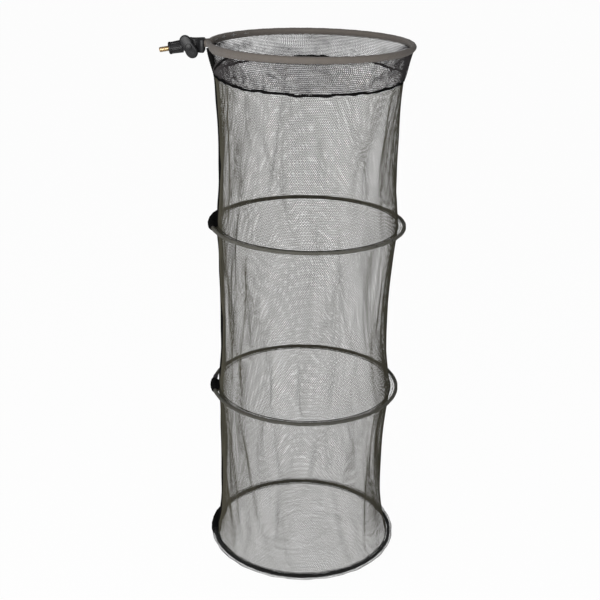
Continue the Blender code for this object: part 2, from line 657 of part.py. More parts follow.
def build_block(plastic):
    """Moulded head of the ring: two sockets for the tube ends and two ears for the joint."""
    height = BLOCK_HALF_HEIGHT
    waist = BLOCK_LENGTH * BLOCK_WAIST_SHARE
    shoulder = BLOCK_LENGTH * BLOCK_SHOULDER_SHARE
    narrow = EAR_OUTER - EAR_STEP
    edge = [(0.0, narrow), (waist, narrow),
            (shoulder, BLOCK_HALF_WIDTH), (BLOCK_LENGTH, BLOCK_HALF_WIDTH)]
    outline = [(x, -y) for x, y in edge] + edge[::-1]
    bm = bmesh.new()
    face = bm.faces.new([bm.verts.new((x, y, -height)) for x, y in outline])
    made = bmesh.ops.extrude_face_region(bm, geom=[face])["geom"]
    moved = [item for item in made if isinstance(item, bmesh.types.BMVert)]
    bmesh.ops.translate(bm, verts=moved, vec=(0.0, 0.0, 2.0 * height))
    bmesh.ops.recalc_face_normals(bm, faces=bm.faces)
    rounded = [edge for edge in bm.edges if max(vertex.co.x for vertex in edge.verts) > DISC_RADIUS]
    bevel_edges(bm, rounded, BLOCK_BEVEL)
    block = add_solid("ring_head_block", bm, plastic)
    block.location = HINGE
    bpy.context.view_layer.update()

    combine(block, cylinder('Y', -EAR_OUTER, EAR_OUTER, DISC_RADIUS), 'UNION', block)
    boss = cylinder('Y', EAR_OUTER - OVERRUN, EAR_OUTER + BOSS_HEIGHT, BOSS_RADIUS)
    combine(block, boss, 'UNION', block)
    combine(block, cylinder('Y', -EAR_INNER, EAR_INNER, SLOT_RADIUS), 'DIFFERENCE', block)
    bolt_way = cylinder('Y', -EAR_OUTER - OVERRUN, BOLT_HEAD_FLOOR + OVERRUN, BOLT_RADIUS + GAP)
    combine(block, bolt_way, 'DIFFERENCE', block)
    pocket = cylinder('Y', BOLT_HEAD_FLOOR, EAR_OUTER + BOSS_HEIGHT + OVERRUN, hex_corner(GAP),
                      sides=BOLT_HEAD_SIDES)
    combine(block, pocket, 'DIFFERENCE', block)
    socket_radius = TOP_TUBE_RADIUS + GAP
    for side in (-1.0, 1.0):
        y = side * TOP_END_OFFSET
        socket = cylinder('X', BLOCK_LENGTH - TOP_END_DEPTH - GAP, BLOCK_LENGTH + OVERRUN, socket_radius,
                          offset=(0.0, y, SOCKET_RISE))
        combine(block, socket, 'DIFFERENCE', block)
        spot = (SCREW_X - HINGE.x, y, 0.0)
        way = cylinder('Z', -height - OVERRUN, SCREW_TOP_Z - HINGE.z, SCREW_RADIUS + GAP,
                       offset=spot, sides=SCREW_SIDES)
        combine(block, way, 'DIFFERENCE', block)
        sink = cylinder('Z', -height - OVERRUN, -height + SCREW_HEAD_HEIGHT + GAP, SCREW_HEAD_RADIUS + GAP,
                        offset=spot, sides=SCREW_SIDES)
        combine(block, sink, 'DIFFERENCE', block)
    panel = box((waist + PANEL_MARGIN, -EAR_INNER, height - PANEL_DEPTH),
                (BLOCK_LENGTH - PANEL_MARGIN, EAR_INNER, height + OVERRUN))
    combine(block, panel, 'DIFFERENCE', block)
    return block


def hex_corner(extra):
    """Corner radius of the bolt's head, or of a pocket wider by a fit."""
    return (0.5 * BOLT_HEAD_FLATS + extra) / math.cos(math.pi / 6.0)


def build_ring_screws(metal):
    """Two screws that cross the ring's ends from below."""
    for side, word in ((-1.0, "near"), (1.0, "far")):
        spot = (SCREW_X, side * TOP_END_OFFSET, 0.0)
        bm = cylinder('Z', SCREW_FOOT_Z + GAP, SCREW_TOP_Z - GAP, SCREW_RADIUS, offset=spot,
                      sides=SCREW_SIDES)
        piece = add_solid(f"ring_end_screw_{word}", bm, metal)
        head = cylinder('Z', SCREW_FOOT_Z, SCREW_FOOT_Z + SCREW_HEAD_HEIGHT, SCREW_HEAD_RADIUS,
                        offset=spot, sides=SCREW_SIDES)
        combine(piece, head, 'UNION')


def build_joint_hardware(frame, steel, fibre):
    """Hinge bolt, the friction washers beside the lug and the washer under the knob."""
    shank_end = -KNOB_SEAT - INSERT_LENGTH + 2.0 * GAP
    shank = cylinder('Y', shank_end, BOLT_HEAD_FLOOR + OVERRUN, BOLT_RADIUS)
    bolt = add_solid("hinge_bolt", shank, steel, frame)
    head_floor = BOLT_HEAD_FLOOR + GAP
    head = cylinder('Y', head_floor, head_floor + BOLT_HEAD_HEIGHT, hex_corner(0.0), sides=BOLT_HEAD_SIDES)
    combine(bolt, head, 'UNION', frame)
    bore = BOLT_RADIUS + GAP
    near = -LUG_HALF_THICKNESS - GAP - FRICTION_WASHER
    washer("friction_washer_near", FRICTION_WASHER, FRICTION_WASHER_RADIUS, bore, near, fibre, frame)
    far = LUG_HALF_THICKNESS + GAP
    washer("friction_washer_far", FRICTION_WASHER, FRICTION_WASHER_RADIUS, bore, far, fibre, frame)
    seat = -EAR_OUTER - GAP - KNOB_WASHER
    washer("knob_washer", KNOB_WASHER, KNOB_WASHER_RADIUS, bore, seat, steel, frame)


def knob_outline():
    """Outline of the knob's two lobes, as a waist that swells towards the span."""
    points = []
    for number in range(KNOB_POINTS):
        angle = 2.0 * math.pi * number / KNOB_POINTS
        swell = abs(math.cos(angle)) ** KNOB_LOBE_POWER
        radius = KNOB_WAIST_RADIUS + (0.5 * KNOB_SPAN - KNOB_WAIST_RADIUS) * swell
        turned = angle + KNOB_ANGLE
        points.append((radius * math.cos(turned), radius * math.sin(turned)))
    return points


def build_knob(frame, plastic, brass):
    """Wing knob with its hub and cap, and the threaded insert in its hub."""
    bm = bmesh.new()
    foot = -KNOB_SEAT - KNOB_HUB_HEIGHT
    face = bm.faces.new([bm.verts.new((x, foot, z)) for x, z in knob_outline()])
    made = bmesh.ops.extrude_face_region(bm, geom=[face])["geom"]
    moved = [item for item in made if isinstance(item, bmesh.types.BMVert)]
    bmesh.ops.translate(bm, verts=moved, vec=(0.0, -KNOB_WING_HEIGHT, 0.0))
    bmesh.ops.recalc_face_normals(bm, faces=bm.faces)
    rims = [edge for edge in bm.edges if edge.verts[0].co.y == edge.verts[1].co.y]
    bevel_edges(bm, rims, KNOB_BEVEL)
    knob = add_solid("wing_knob", bm, plastic, frame)
    hub = bmesh.new()
    add_cone(hub, 'Y', foot - OVERRUN, -KNOB_SEAT, KNOB_HUB_RADIUS, KNOB_FACE_RADIUS)
    combine(knob, hub, 'UNION', frame)
    cap = bmesh.new()
    add_cone(cap, 'Y', -KNOB_TOP - KNOB_CAP_HEIGHT, -KNOB_TOP + OVERRUN,
             KNOB_CAP_RADIUS - KNOB_CAP_TAPER, KNOB_CAP_RADIUS)
    combine(knob, cap, 'UNION', frame)
    pocket = cylinder('Y', -KNOB_SEAT - INSERT_LENGTH - GAP, -KNOB_SEAT + OVERRUN, INSERT_RADIUS + GAP)
    combine(knob, pocket, 'DIFFERENCE', frame)
    sleeve = cylinder('Y', -KNOB_SEAT - INSERT_LENGTH, -KNOB_SEAT, INSERT_RADIUS)
    insert = add_solid("knob_insert", sleeve, brass, frame)
    bore = cylinder('Y', -KNOB_SEAT - INSERT_LENGTH - OVERRUN, -KNOB_SEAT + OVERRUN, BOLT_RADIUS + GAP)
    combine(insert, bore, 'DIFFERENCE', frame)


def build_stud(frame, plastic, brass):
    """Lug with its fluted barrel and the brass stud that is moulded into it."""
    barrel_start = DISC_RADIUS + BARREL_CLEARANCE
    lug = cylinder('Y', -LUG_HALF_THICKNESS, LUG_HALF_THICKNESS, DISC_RADIUS)
    holder = add_solid("stud_holder", lug, plastic, frame)
    bridge = box((-barrel_start - OVERRUN, -LUG_HALF_THICKNESS, -BRIDGE_HALF_HEIGHT),
                 (0.0, LUG_HALF_THICKNESS, BRIDGE_HALF_HEIGHT))
    combine(holder, bridge, 'UNION', frame)
    barrel = bmesh.new()
    add_cone(barrel, 'X', -HINGE_REACH + COLLAR_CHAMFER, -barrel_start, BARREL_RADIUS, BARREL_FOOT_RADIUS)
    combine(holder, barrel, 'UNION', frame)
    collar = cylinder('X', -HINGE_REACH, -HINGE_REACH + COLLAR_LENGTH, COLLAR_RADIUS)
    rims = [edge for edge in collar.edges if edge.calc_face_angle(0.0) > RIM_ANGLE]
    bevel_edges(collar, rims, COLLAR_CHAMFER, segments=1)
    combine(holder, collar, 'UNION', frame)
    flutes = bmesh.new()
    for number in range(FLUTE_COUNT):
        angle = 2.0 * math.pi * (number + 0.5) / FLUTE_COUNT
        reach = BARREL_RADIUS + FLUTE_RADIUS * FLUTE_OUT_SHARE
        add_cone(flutes, 'X', -HINGE_REACH + COLLAR_LENGTH, -barrel_start - FLUTE_END_MARGIN,
                 FLUTE_RADIUS, FLUTE_RADIUS,
                 offset=(0.0, reach * math.cos(angle), reach * math.sin(angle)), sides=FLUTE_SIDES)
    combine(holder, flutes, 'DIFFERENCE', frame)
    bore = cylinder('Y', -LUG_HALF_THICKNESS - OVERRUN, LUG_HALF_THICKNESS + OVERRUN, BOLT_RADIUS + GAP)
    combine(holder, bore, 'DIFFERENCE', frame)
    shank_end = -HINGE_REACH + STUD_SHANK_LENGTH
    way = cylinder('X', -HINGE_REACH - OVERRUN, shank_end + GAP, STUD_RADIUS + GAP)
    combine(holder, way, 'DIFFERENCE', frame)

    stud = cylinder('X', -HINGE_REACH - STUD_LENGTH, shank_end, STUD_RADIUS)
    tip = [edge for edge in stud.edges
           if max(vertex.co.x for vertex in edge.verts) < -HINGE_REACH - STUD_CHAMFER]
    bevel_edges(stud, tip, STUD_CHAMFER, segments=1)
    add_solid("brass_stud", stud, brass, frame)


def main():
    """Build every piece of the net."""
    clear_scene()
    plastic = make_material("black_nylon", (0.012, 0.012, 0.013), 0.42)
    alloy = make_material("alloy_tube", (0.40, 0.40, 0.41), 0.35, 1.0)
    steel = make_material("zinc_steel", (0.50, 0.50, 0.50), 0.30, 1.0)
    brass = make_material("brass", (0.72, 0.46, 0.16), 0.28, 1.0)
    fibre = make_material("fibre", (0.10, 0.07, 0.05), 0.85)
    rod = make_material("coated_rod", (0.02, 0.022, 0.02), 0.50)
    ferrule = make_material("ferrule", (0.015, 0.015, 0.016), 0.40)
    cover = make_material("sleeve_cloth", (0.045, 0.041, 0.036), 0.90)
    hem = make_material("hem_cloth", (0.085, 0.075, 0.075), 0.90)
    binding = make_material("binding", (0.010, 0.010, 0.010), 0.90)
    netting = make_material("netting", (0.022, 0.022, 0.020), 0.85)

    build_top_ring(alloy, cover)
    build_block(plastic)
    build_ring_screws(steel)
    head = add_frame("head_frame", HINGE)
    build_joint_hardware(head, steel, fibre)
    build_knob(add_frame("knob_frame", HINGE), plastic, brass)
    build_stud(add_frame("tilt_frame", HINGE, (0.0, -STUD_DROOP, 0.0)), plastic, brass)
    build_hem(hem, binding)
    for index in range(len(BAYS)):
        build_bay(index, netting, binding)
    for name, height in zip(RING_NAMES, RING_HEIGHTS[1:]):
        frame = add_frame(f"{name}_frame", (RING_X, 0.0, height))
        build_lower_ring(name, frame, rod, cover, ferrule)
        if name == RING_NAMES[-1]:
            build_base_net(netting, frame)


main()
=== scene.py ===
import math
from collections import namedtuple

import bmesh
import bpy
import numpy as np
from bpy.props import FloatProperty, FloatVectorProperty, PointerProperty
from mathutils import Matrix, Vector


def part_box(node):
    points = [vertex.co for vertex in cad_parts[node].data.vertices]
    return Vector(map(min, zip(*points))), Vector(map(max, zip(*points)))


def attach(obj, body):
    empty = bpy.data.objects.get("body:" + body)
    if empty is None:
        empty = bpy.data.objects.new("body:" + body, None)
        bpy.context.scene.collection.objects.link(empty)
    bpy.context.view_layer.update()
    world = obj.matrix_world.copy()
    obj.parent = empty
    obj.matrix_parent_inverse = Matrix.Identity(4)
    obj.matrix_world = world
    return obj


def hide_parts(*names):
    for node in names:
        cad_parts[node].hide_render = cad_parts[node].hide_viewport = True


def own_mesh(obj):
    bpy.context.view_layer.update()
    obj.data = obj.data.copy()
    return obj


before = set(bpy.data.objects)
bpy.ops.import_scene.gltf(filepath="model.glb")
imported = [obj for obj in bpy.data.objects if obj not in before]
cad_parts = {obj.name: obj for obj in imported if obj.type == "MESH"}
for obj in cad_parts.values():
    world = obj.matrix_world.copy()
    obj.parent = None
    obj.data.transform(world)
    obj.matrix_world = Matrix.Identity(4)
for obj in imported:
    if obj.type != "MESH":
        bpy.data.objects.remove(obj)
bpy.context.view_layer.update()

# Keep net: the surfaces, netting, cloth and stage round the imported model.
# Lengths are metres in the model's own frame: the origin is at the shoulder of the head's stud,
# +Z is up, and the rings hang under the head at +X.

bl_info = {
    "name": "Keep Net Studio",
    "version": (1, 0, 0),
    "blender": (4, 5, 0),
    "location": "View3D > Sidebar > Keep Net",
    "description": "Builds the netting, cloth, head and stage of a round keep net",
    "category": "Object",
}

TURN = 2.0 * math.pi
MERGE = 0.00001
STEP_SHARE = 0.0005
FOLD_CREASE = 60.0
THREAD_CREASE = 25.0
STRAND_LAYER = "strand"
HEAD_SIDE = math.pi

# How a tape folds round a tube: the share of it that touches, and the angle where its legs leave
ARC_SHARE = 0.6
FOLD_OPENING = math.radians(35.0)

# Places read from the frame
HOOP_LOW, HOOP_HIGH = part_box("ring_2_hoop")
HOOP_RADIUS = 0.5 * (HOOP_HIGH.z - HOOP_LOW.z)
RING_RADIUS = HOOP_HIGH.y - HOOP_RADIUS
RING_X = 0.5 * (HOOP_LOW.x + HOOP_HIGH.x)
RING_NAMES = ("ring_2", "ring_3", "base")
RING_NODES = ("top_ring_tube",) + tuple(f"{name}_hoop" for name in RING_NAMES)
RING_HEIGHTS = tuple(0.5 * (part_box(node)[0].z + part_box(node)[1].z) for node in RING_NODES)
HEM_TOP_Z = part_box("hem_band")[1].z
HEM_FOOT_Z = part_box("hem_band")[0].z
CORD_Z = 0.5 * (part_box("seam_cord")[0].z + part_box("seam_cord")[1].z)
BASE_NET_Z = 0.5 * (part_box("base_net")[0].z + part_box("base_net")[1].z)

# Slides that carry the net's bays, from the ring above to the ring below
CARRIERS = ("ring_head", "ring_2", "ring_3")

# The wall of the net, set in from the rings' centre line
SEAM_RADIUS = RING_RADIUS - 0.0108
HEM_FOOT_RADIUS = RING_RADIUS - 0.0120
HEM_WALL = 0.0016
HEM_FOLD = 0.0022
HEM_FOLD_COUNT = 8
HEM_TILT = 0.0065
HEAD_BULGE = 0.0042
HEAD_BULGE_WIDTH = 0.22
FINE_FOLD_SHARE = 0.4
FOLD_DRAW = 1.1
CREASE_DRAW = 1.2
CREASE_POWER = 1.4
CREASE_FADE_POWER = 0.6
SEAM_PULL = 0.40
SEAM_PULL_WIDTH = 0.25
BROAD_PULL = 0.12
BUNCH_FADE_POWER = 0.3
Bay = namedtuple("Bay", "draw fold_depth fold_count top_power foot_power")
BAYS = (
    Bay(draw=0.0085, fold_depth=0.0036, fold_count=7, top_power=2.2, foot_power=2.5),
    Bay(draw=0.0066, fold_depth=0.0040, fold_count=8, top_power=2.2, foot_power=7.0),
    Bay(draw=0.0040, fold_depth=0.0046, fold_count=6, top_power=5.0, foot_power=9.0),
)
BASE_SEAM_RADIUS = RING_RADIUS - 0.0045
FOOT_RADII = (SEAM_RADIUS, SEAM_RADIUS, BASE_SEAM_RADIUS)
PANELS = 3

# Tapes and casings
Tab = namedtuple("Tab", "middle half_length radius squareness")
TABS = (
    Tab(middle=-0.010, half_length=0.052, radius=0.0068, squareness=4.0),
    Tab(middle=0.020, half_length=0.024, radius=0.0060, squareness=1.7),
    Tab(middle=-0.018, half_length=0.047, radius=0.0080, squareness=4.0),
)
TAB_REACH = SEAM_RADIUS - 0.0010

# Area of a cut of netting, as a share of its outline, worked out for each cut but not used. The mesh's own
# share is 0.70 with ridges of full height, in the bays and the hem, and 0.46 with half that height, in the
# base panel and casings
NET_FILL = 0.62
FOLDED_NET_FILL = 0.45

# Casings, sleeves, side seam, notch, cord and thread
CASING_RADII = (0.0032, 0.0032, 0.0066)
CASING_ROW_PAIRS = (5, 5, 6)
CASING_FULLNESS = (1.0, 1.0, 1.4)
HEM_FULLNESS = 1.15
FERRULE_REACH = math.radians(7.1)
TOP_BEND_RADIUS = 0.010
TOP_END_OFFSET = 0.009
FLARE_DROP = 0.0080
FLARE_LENGTH = 0.115
FLARE_START = 0.050
BACK_FLARE_SHARE = 0.35
SEAM_DEPTH = 0.0042
SEAM_SET = 0.0020
SEAM_HALF_WIDTH = 0.0034
SEAM_FLARE = 2.7
SEAM_FLARE_LENGTH = 0.024
BACK_NOTCH_SHARE = 0.28
NOTCH_POWER = 1.86
NOTCH_SLOPE_SHARE = 0.74
KNOT_SHARE = 0.079
KNOT_WIDTH = 0.0045
KNOT_SWELL = 0.8
CORD_SET = 0.0006
BINDING_SET = 0.0010
BINDING_WIDE, BINDING_HIGH = 1.25, 0.8
BINDING_TAPER = 60
THREAD_SET = 0.0004
THREAD_HALF_WIDTH, THREAD_HALF_HEIGHT = 0.0007, 0.0009

# Walls of folded cloth, the gaps that their legs close to, and how the casings hang
TOP_WALL, TOP_GAP = 0.0006, 0.0007
HOOP_WALL, HOOP_GAP, HOOP_FIN = 0.0005, 0.0004, 0.0003
TAB_WALL, TAB_GAP, TAB_PLY = 0.0009, 0.0022, 0.0013
TAB_END_REACH = 0.15
CASING_GAP = 0.0006
CASING_PROBE = 0.001
CASING_STRAND_SHARE = 0.8
CASING_RIPPLE = (0.0006, 24.0, 0.0)
PANEL_SAG = 0.0035
GATHER_DEPTH, GATHER_RISE, GATHER_SPREAD = 0.0007, 2.0, 0.35

# The brass stud
STUD_TILT = math.radians(10.0)
THREAD_STEPS = 24

# Stage: each lamp's name, place, size and power; the world's light; the floor's size and its share of white
LAMPS = (("key_lamp", (-0.3, -2.6, 0.35), 1.5, 76.0), ("top_lamp", (0.0, -0.4, 1.9), 1.4, 4.0))
SOFT_LIGHT = 0.18
FLOOR_SIZE = 12.0
FLOOR_WHITE = 0.97

# The head's face, the tube's bends and the bays' ends
BLOCK_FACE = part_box("ring_head_block")[1].x
BEND_CENTRE_Y = TOP_END_OFFSET + TOP_BEND_RADIUS
BEND_LEAVE = math.asin(BEND_CENTRE_Y / (RING_RADIUS + TOP_BEND_RADIUS))
BAY_TOPS = (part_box("net_bay_1")[1].z, RING_HEIGHTS[1], RING_HEIGHTS[2])
BAY_FEET = (RING_HEIGHTS[1], RING_HEIGHTS[2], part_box("net_bay_3")[0].z)


# Shader expressions

class Flow:
    """A value in a material: arithmetic on it adds Math nodes."""

    def __init__(self, finish, socket):
        self.finish = finish
        self.socket = socket

    def join(self, operation, other):
        return self.finish.node('ShaderNodeMath', {"operation": operation}, {0: self, 1: other})

    def __add__(self, other):
        return self.join('ADD', other)

    def __mul__(self, other):
        return self.join('MULTIPLY', other)

    __radd__ = __add__
    __rmul__ = __mul__


class Finish:
    """One material with a Principled shader, and the nodes that vary it."""

    def __init__(self, name, roughness, metallic=0.0, sheen=0.0, specular=0.5):
        self.material = bpy.data.materials.new(name)
        self.material.use_nodes = True
        self.tree = self.material.node_tree
        self.shader = self.tree.nodes["Principled BSDF"]
        self.set("Roughness", roughness)
        self.set("Metallic", metallic)
        self.set("Sheen Weight", sheen)
        self.set("Specular IOR Level", specular)

    def set(self, name, value):
        """Give one of the shader's sockets a value or a link."""
        self.feed(self.shader.inputs[name], value)

    def feed(self, socket, value):
        if isinstance(value, Flow):
            self.tree.links.new(value.socket, socket)
        else:
            socket.default_value = value

    def node(self, kind, settings=None, values=None, output=0):
        """Add a node: its settings first, then the values or links of its sockets."""
        made = self.tree.nodes.new(kind)
        for name, value in (settings or {}).items():
            setattr(made, name, value)
        for socket, value in (values or {}).items():
            self.feed(made.inputs[socket], value)
        return Flow(self, made.outputs[output])

    def here(self, scale=(1.0, 1.0, 1.0)):
        """Object coordinates, scaled."""
        place = self.node('ShaderNodeTexCoord', output="Object")
        return self.node('ShaderNodeMapping', {"vector_type": 'POINT'}, {"Vector": place, "Scale": scale})

    def map(self, name, scale):
        """Coordinates of one of the piece's own UV maps, scaled."""
        place = self.node('ShaderNodeUVMap', {"uv_map": name})
        return self.node('ShaderNodeMapping', {"vector_type": 'POINT'}, {"Vector": place, "Scale": scale})

    def noise(self, size, detail=2.0, vector=None):
        """Noise whose blotches are about size across."""
        return self.node('ShaderNodeTexNoise', {"noise_dimensions": '3D'},
                         {"Vector": vector or self.here(), "Scale": 1.0 / size, "Detail": detail})

    def blend(self, share, first, second):
        """Colour between two colours."""
        return self.node('ShaderNodeMix', {"data_type": 'RGBA', "blend_type": 'MIX'},
                         {0: share, 6: (*first, 1.0), 7: (*second, 1.0)}, output=2)

    def emboss(self, height, depth):
        """Bump the surface by a height field, in metres at full height."""
        self.set("Normal", self.node('ShaderNodeBump', {}, {"Height": height, "Distance": depth}))


# Sizes and colours that a user would change

def colour_setting(name, description, value):
    return FloatVectorProperty(name=name, description=description, subtype='COLOR', size=3,
                               min=0.0, max=1.0, default=value)


def length_setting(name, description, value):
    return FloatProperty(name=name, description=description, default=value, min=0.0, unit='LENGTH',
                         precision=4)


class NettingSettings(bpy.types.PropertyGroup):
    """Sizes and colour of the netting."""

    cell: length_setting("Cell", "Distance between the middles of two cells in a row", 0.0033)
    strand: length_setting("Strand width", "Width of a strand across the cloth", 0.00063)
    thickness: length_setting("Strand thickness", "Thickness of a strand through the cloth", 0.00056)
    crease: length_setting("Crease depth", "Depth of the fine upright creases", 0.0017)
    colour: colour_setting("Colour", "Colour of the netting", (0.041, 0.037, 0.024))


class HemSettings(bpy.types.PropertyGroup):
    """Sizes and colour of the doubled hem and its seams."""

    ply_gap: length_setting("Ply gap", "Distance between the hem's two layers at its middle", 0.0026)
    cord_radius: length_setting("Cord radius", "Radius of the overlocked seam at the hem's foot", 0.0023)
    binding_radius: length_setting("Binding radius", "Radius of the notch's bound edge", 0.0017)
    notch_half_width: length_setting("Notch half width", "Distance to the middle of its slope", 0.068)
    notch_depth: length_setting("Notch depth", "Depth of the notch under the head", 0.0425)
    colour: colour_setting("Colour", "Colour of the hem's netting", (0.022, 0.019, 0.020))
    seam_colour: colour_setting("Seam colour", "Colour of bindings, tapes and thread", (0.006, 0.006, 0.006))


class RingSettings(bpy.types.PropertyGroup):
    """Sizes and colours of the rings' sleeves."""

    top_radius: length_setting("Top sleeve radius", "Outer radius of the top ring's sleeve", 0.0051)
    top_fin: length_setting("Top seam", "Reach of the top sleeve's seam below the tube", 0.0018)
    sleeve_radius: length_setting("Sleeve radius", "Outer radius of a lower ring's sleeve", 0.0030)
    top_colour: colour_setting("Top colour", "Colour of the top ring's sleeve", (0.135, 0.118, 0.104))
    lower_colour: colour_setting("Second ring", "Colour of the second ring's sleeve", (0.110, 0.108, 0.096))
    middle_colour: colour_setting("Third ring", "Colour of the third ring's sleeve", (0.080, 0.079, 0.070))
    base_colour: colour_setting("Base colour", "Colour of the base ring's sleeve", (0.007, 0.007, 0.006))
    thread_colour: colour_setting("Thread", "Colour of the lower rings' stitching", (0.040, 0.040, 0.036))


class HeadSettings(bpy.types.PropertyGroup):
    """Sizes and colours of the head."""

    thread_pitch: length_setting("Thread pitch", "Pitch of the brass stud's thread", 0.00127)
    thread_depth: length_setting("Thread depth", "Depth of the brass stud's thread", 0.00075)
    edge: length_setting("Edge radius", "Radius of the moulded edges", 0.0004)
    colour: colour_setting("Nylon", "Colour of the moulded head", (0.007, 0.007, 0.0075))
    brass: colour_setting("Brass", "Colour of the brass", (0.72, 0.56, 0.34))


class StudioSettings(bpy.types.PropertyGroup):
    """Camera, lamps and floor."""

    lens: FloatProperty(name="Lens", description="Focal length in millimetres on a 36 mm frame",
                        default=66.11, min=10.0)
    distance: length_setting("Distance", "How far the camera stands in front of the rings' axis", 1.9505)
    height: length_setting("Height", "How high the camera is above the top ring", 0.2753)
    aside: length_setting("Aside", "How far the camera stands to the left of the rings' axis", 0.0122)
    pitch: FloatProperty(name="Pitch", description="How far the camera looks down", subtype='ANGLE',
                         default=math.radians(21.125))
    roll: FloatProperty(name="Roll", description="How far the camera leans", subtype='ANGLE',
                        default=math.radians(0.991))
    floor_drop: length_setting("Floor drop", "Distance from the base ring down to the floor", 0.060)
    floor_tone: colour_setting("Floor", "Colour of the floor and backdrop", (0.92, 0.92, 0.91))


GROUPS = {
    "keep_net_netting": NettingSettings,
    "keep_net_hem": HemSettings,
    "keep_net_rings": RingSettings,
    "keep_net_head": HeadSettings,
    "keep_net_studio": StudioSettings,
}


# The wall's shape

def waves(at, *terms):
    """Sum of sines of a place, each with its depth, its count and its start."""
    return sum(depth * np.sin(count * at + start) for depth, count, start in terms)


def fold_wave(azimuth, count):
    """Broad wave of the cloth round the net, still at the side seam."""
    turn = azimuth - HEAD_SIDE
    calm = np.sin(0.5 * turn) ** 2
    return calm * waves(turn, (1.0, count, 0.0), (FINE_FOLD_SHARE, count + 3, 1.0))


def fold_draw(azimuth):
    """How far the folds draw the wall in, none at the side seam."""
    return FOLD_DRAW * np.sin(0.5 * (azimuth - HEAD_SIDE)) ** 2


def hem_radius(share, azimuth):
    """Radius of the hem's outer face, at a share of its height down from the ring."""
    top = RING_RADIUS + 0.5 * HEM_WALL
    foot = HEM_FOOT_RADIUS + HEM_FOLD * fold_wave(azimuth, HEM_FOLD_COUNT)
    turn = np.mod(azimuth, TURN) - HEAD_SIDE
    return top + (foot - top) * share + HEAD_BULGE * np.exp(-(turn / HEAD_BULGE_WIDTH) ** 2)


def hem_tilt(azimuth):
    """How far the hem's foot stands above its middle height: the front hangs lowest."""
    return HEM_TILT * np.sin(azimuth)


def bay_radius(index, share, azimuth):
    """Radius of a bay's outer face, at a share of its height down from its top."""
    bay = BAYS[index]
    waist = SEAM_RADIUS - bay.draw
    top = hem_radius(1.0, azimuth) if index == 0 else SEAM_RADIUS
    flare = (top - waist) * (1.0 - share) ** bay.top_power
    foot = (FOOT_RADII[index] - waist) * share ** bay.foot_power
    folds = fold_wave(azimuth, bay.fold_count) - fold_draw(azimuth)
    return waist + flare + foot + bay.fold_depth * np.sin(math.pi * share) * folds


# Counts round the net, lean down a bay, start and weight of each run of creases and of bunched cloth
CREASES = ((11, 2.7, 0.3, 0.7), (17, -4.0, 1.9, 0.6), (29, 5.2, 4.0, 0.30), (43, -3.6, 2.5, 0.15))
BUNCHES = ((7, 2.6, 0.4, 0.15), (12, -4.2, 1.1, 0.13), (19, 5.0, 2.7, 0.09), (31, -5.5, 5.0, 0.05))

# Single pleats: the bay (0 for the hem), how far round from the head's side, and the lean towards the foot
Pleat = namedtuple("Pleat", "bay side lean width pull")
PLEATS = (
    Pleat(bay=0, side=3.14, lean=-0.10, width=0.300, pull=0.45),
    Pleat(bay=0, side=2.72, lean=0.15, width=0.060, pull=0.45),
    Pleat(bay=0, side=0.75, lean=-0.12, width=0.070, pull=0.45),
    Pleat(bay=1, side=0.57, lean=0.02, width=0.040, pull=0.70),
    Pleat(bay=1, side=1.35, lean=0.18, width=0.070, pull=0.40),
    Pleat(bay=1, side=2.62, lean=-0.10, width=0.050, pull=0.55),
    Pleat(bay=1, side=4.90, lean=0.25, width=0.050, pull=0.50),
    Pleat(bay=2, side=0.50, lean=0.12, width=0.045, pull=0.60),
    Pleat(bay=2, side=0.95, lean=-0.22, width=0.050, pull=0.50),
    Pleat(bay=2, side=2.35, lean=0.20, width=0.050, pull=0.50),
    Pleat(bay=2, side=4.30, lean=-0.30, width=0.060, pull=0.50),
    Pleat(bay=2, side=5.60, lean=0.20, width=0.050, pull=0.50),
    Pleat(bay=3, side=0.45, lean=0.45, width=0.060, pull=0.40),
    Pleat(bay=3, side=0.75, lean=0.55, width=0.070, pull=0.35),
    Pleat(bay=3, side=1.90, lean=0.30, width=0.060, pull=0.45),
    Pleat(bay=3, side=2.55, lean=-0.10, width=0.045, pull=0.60),
    Pleat(bay=3, side=5.10, lean=-0.20, width=0.050, pull=0.50),
)


def wander(bay, share, azimuth):
    """How far runs of folds wander sideways down a bay."""
    return waves(azimuth, (0.13, 3.0, 4.0 * share + bay), (0.05, 8.0, -7.0 * share))


def crease_wave(index, share, azimuth):
    """Fine creases of a bay, which die out at the rings."""
    wave = 0.0
    azimuth = azimuth + wander(index, share, azimuth)
    for count, lean, start, weight in CREASES:
        ridge = np.sin((count + index) * azimuth + lean * share + start + index)
        wave = wave + weight * np.sign(ridge) * np.abs(ridge) ** CREASE_POWER
    return wave * crease_fade(share)


def crease_fade(share):
    """How much of the creases is left at a share of a bay's height, none at the rings."""
    return np.sin(math.pi * share) ** CREASE_FADE_POWER


def gathered(bay, share, azimuth):
    """Where cloth that starts at an azimuth comes to lie, with its bunches and its pleats."""
    moved = azimuth + wander(bay, share, azimuth)
    shift = waves(moved, *((weight / count, count, lean * share + start + 2.0 * bay)
                           for count, lean, start, weight in BUNCHES))
    for pleat in PLEATS:
        if pleat.bay == bay:
            off = (azimuth - HEAD_SIDE - pleat.side - pleat.lean * share) / pleat.width
            shift = shift - pleat.pull * pleat.width * off * np.exp(-0.5 * off ** 2)
    turn = np.mod(azimuth - HEAD_SIDE + math.pi, TURN) - math.pi
    shift = shift - BROAD_PULL * np.sin(turn)
    shift = shift - SEAM_PULL * turn * np.exp(-0.5 * (turn / SEAM_PULL_WIDTH) ** 2)
    return azimuth + shift * np.clip(np.sin(math.pi * share), 0.0, 1.0) ** BUNCH_FADE_POWER


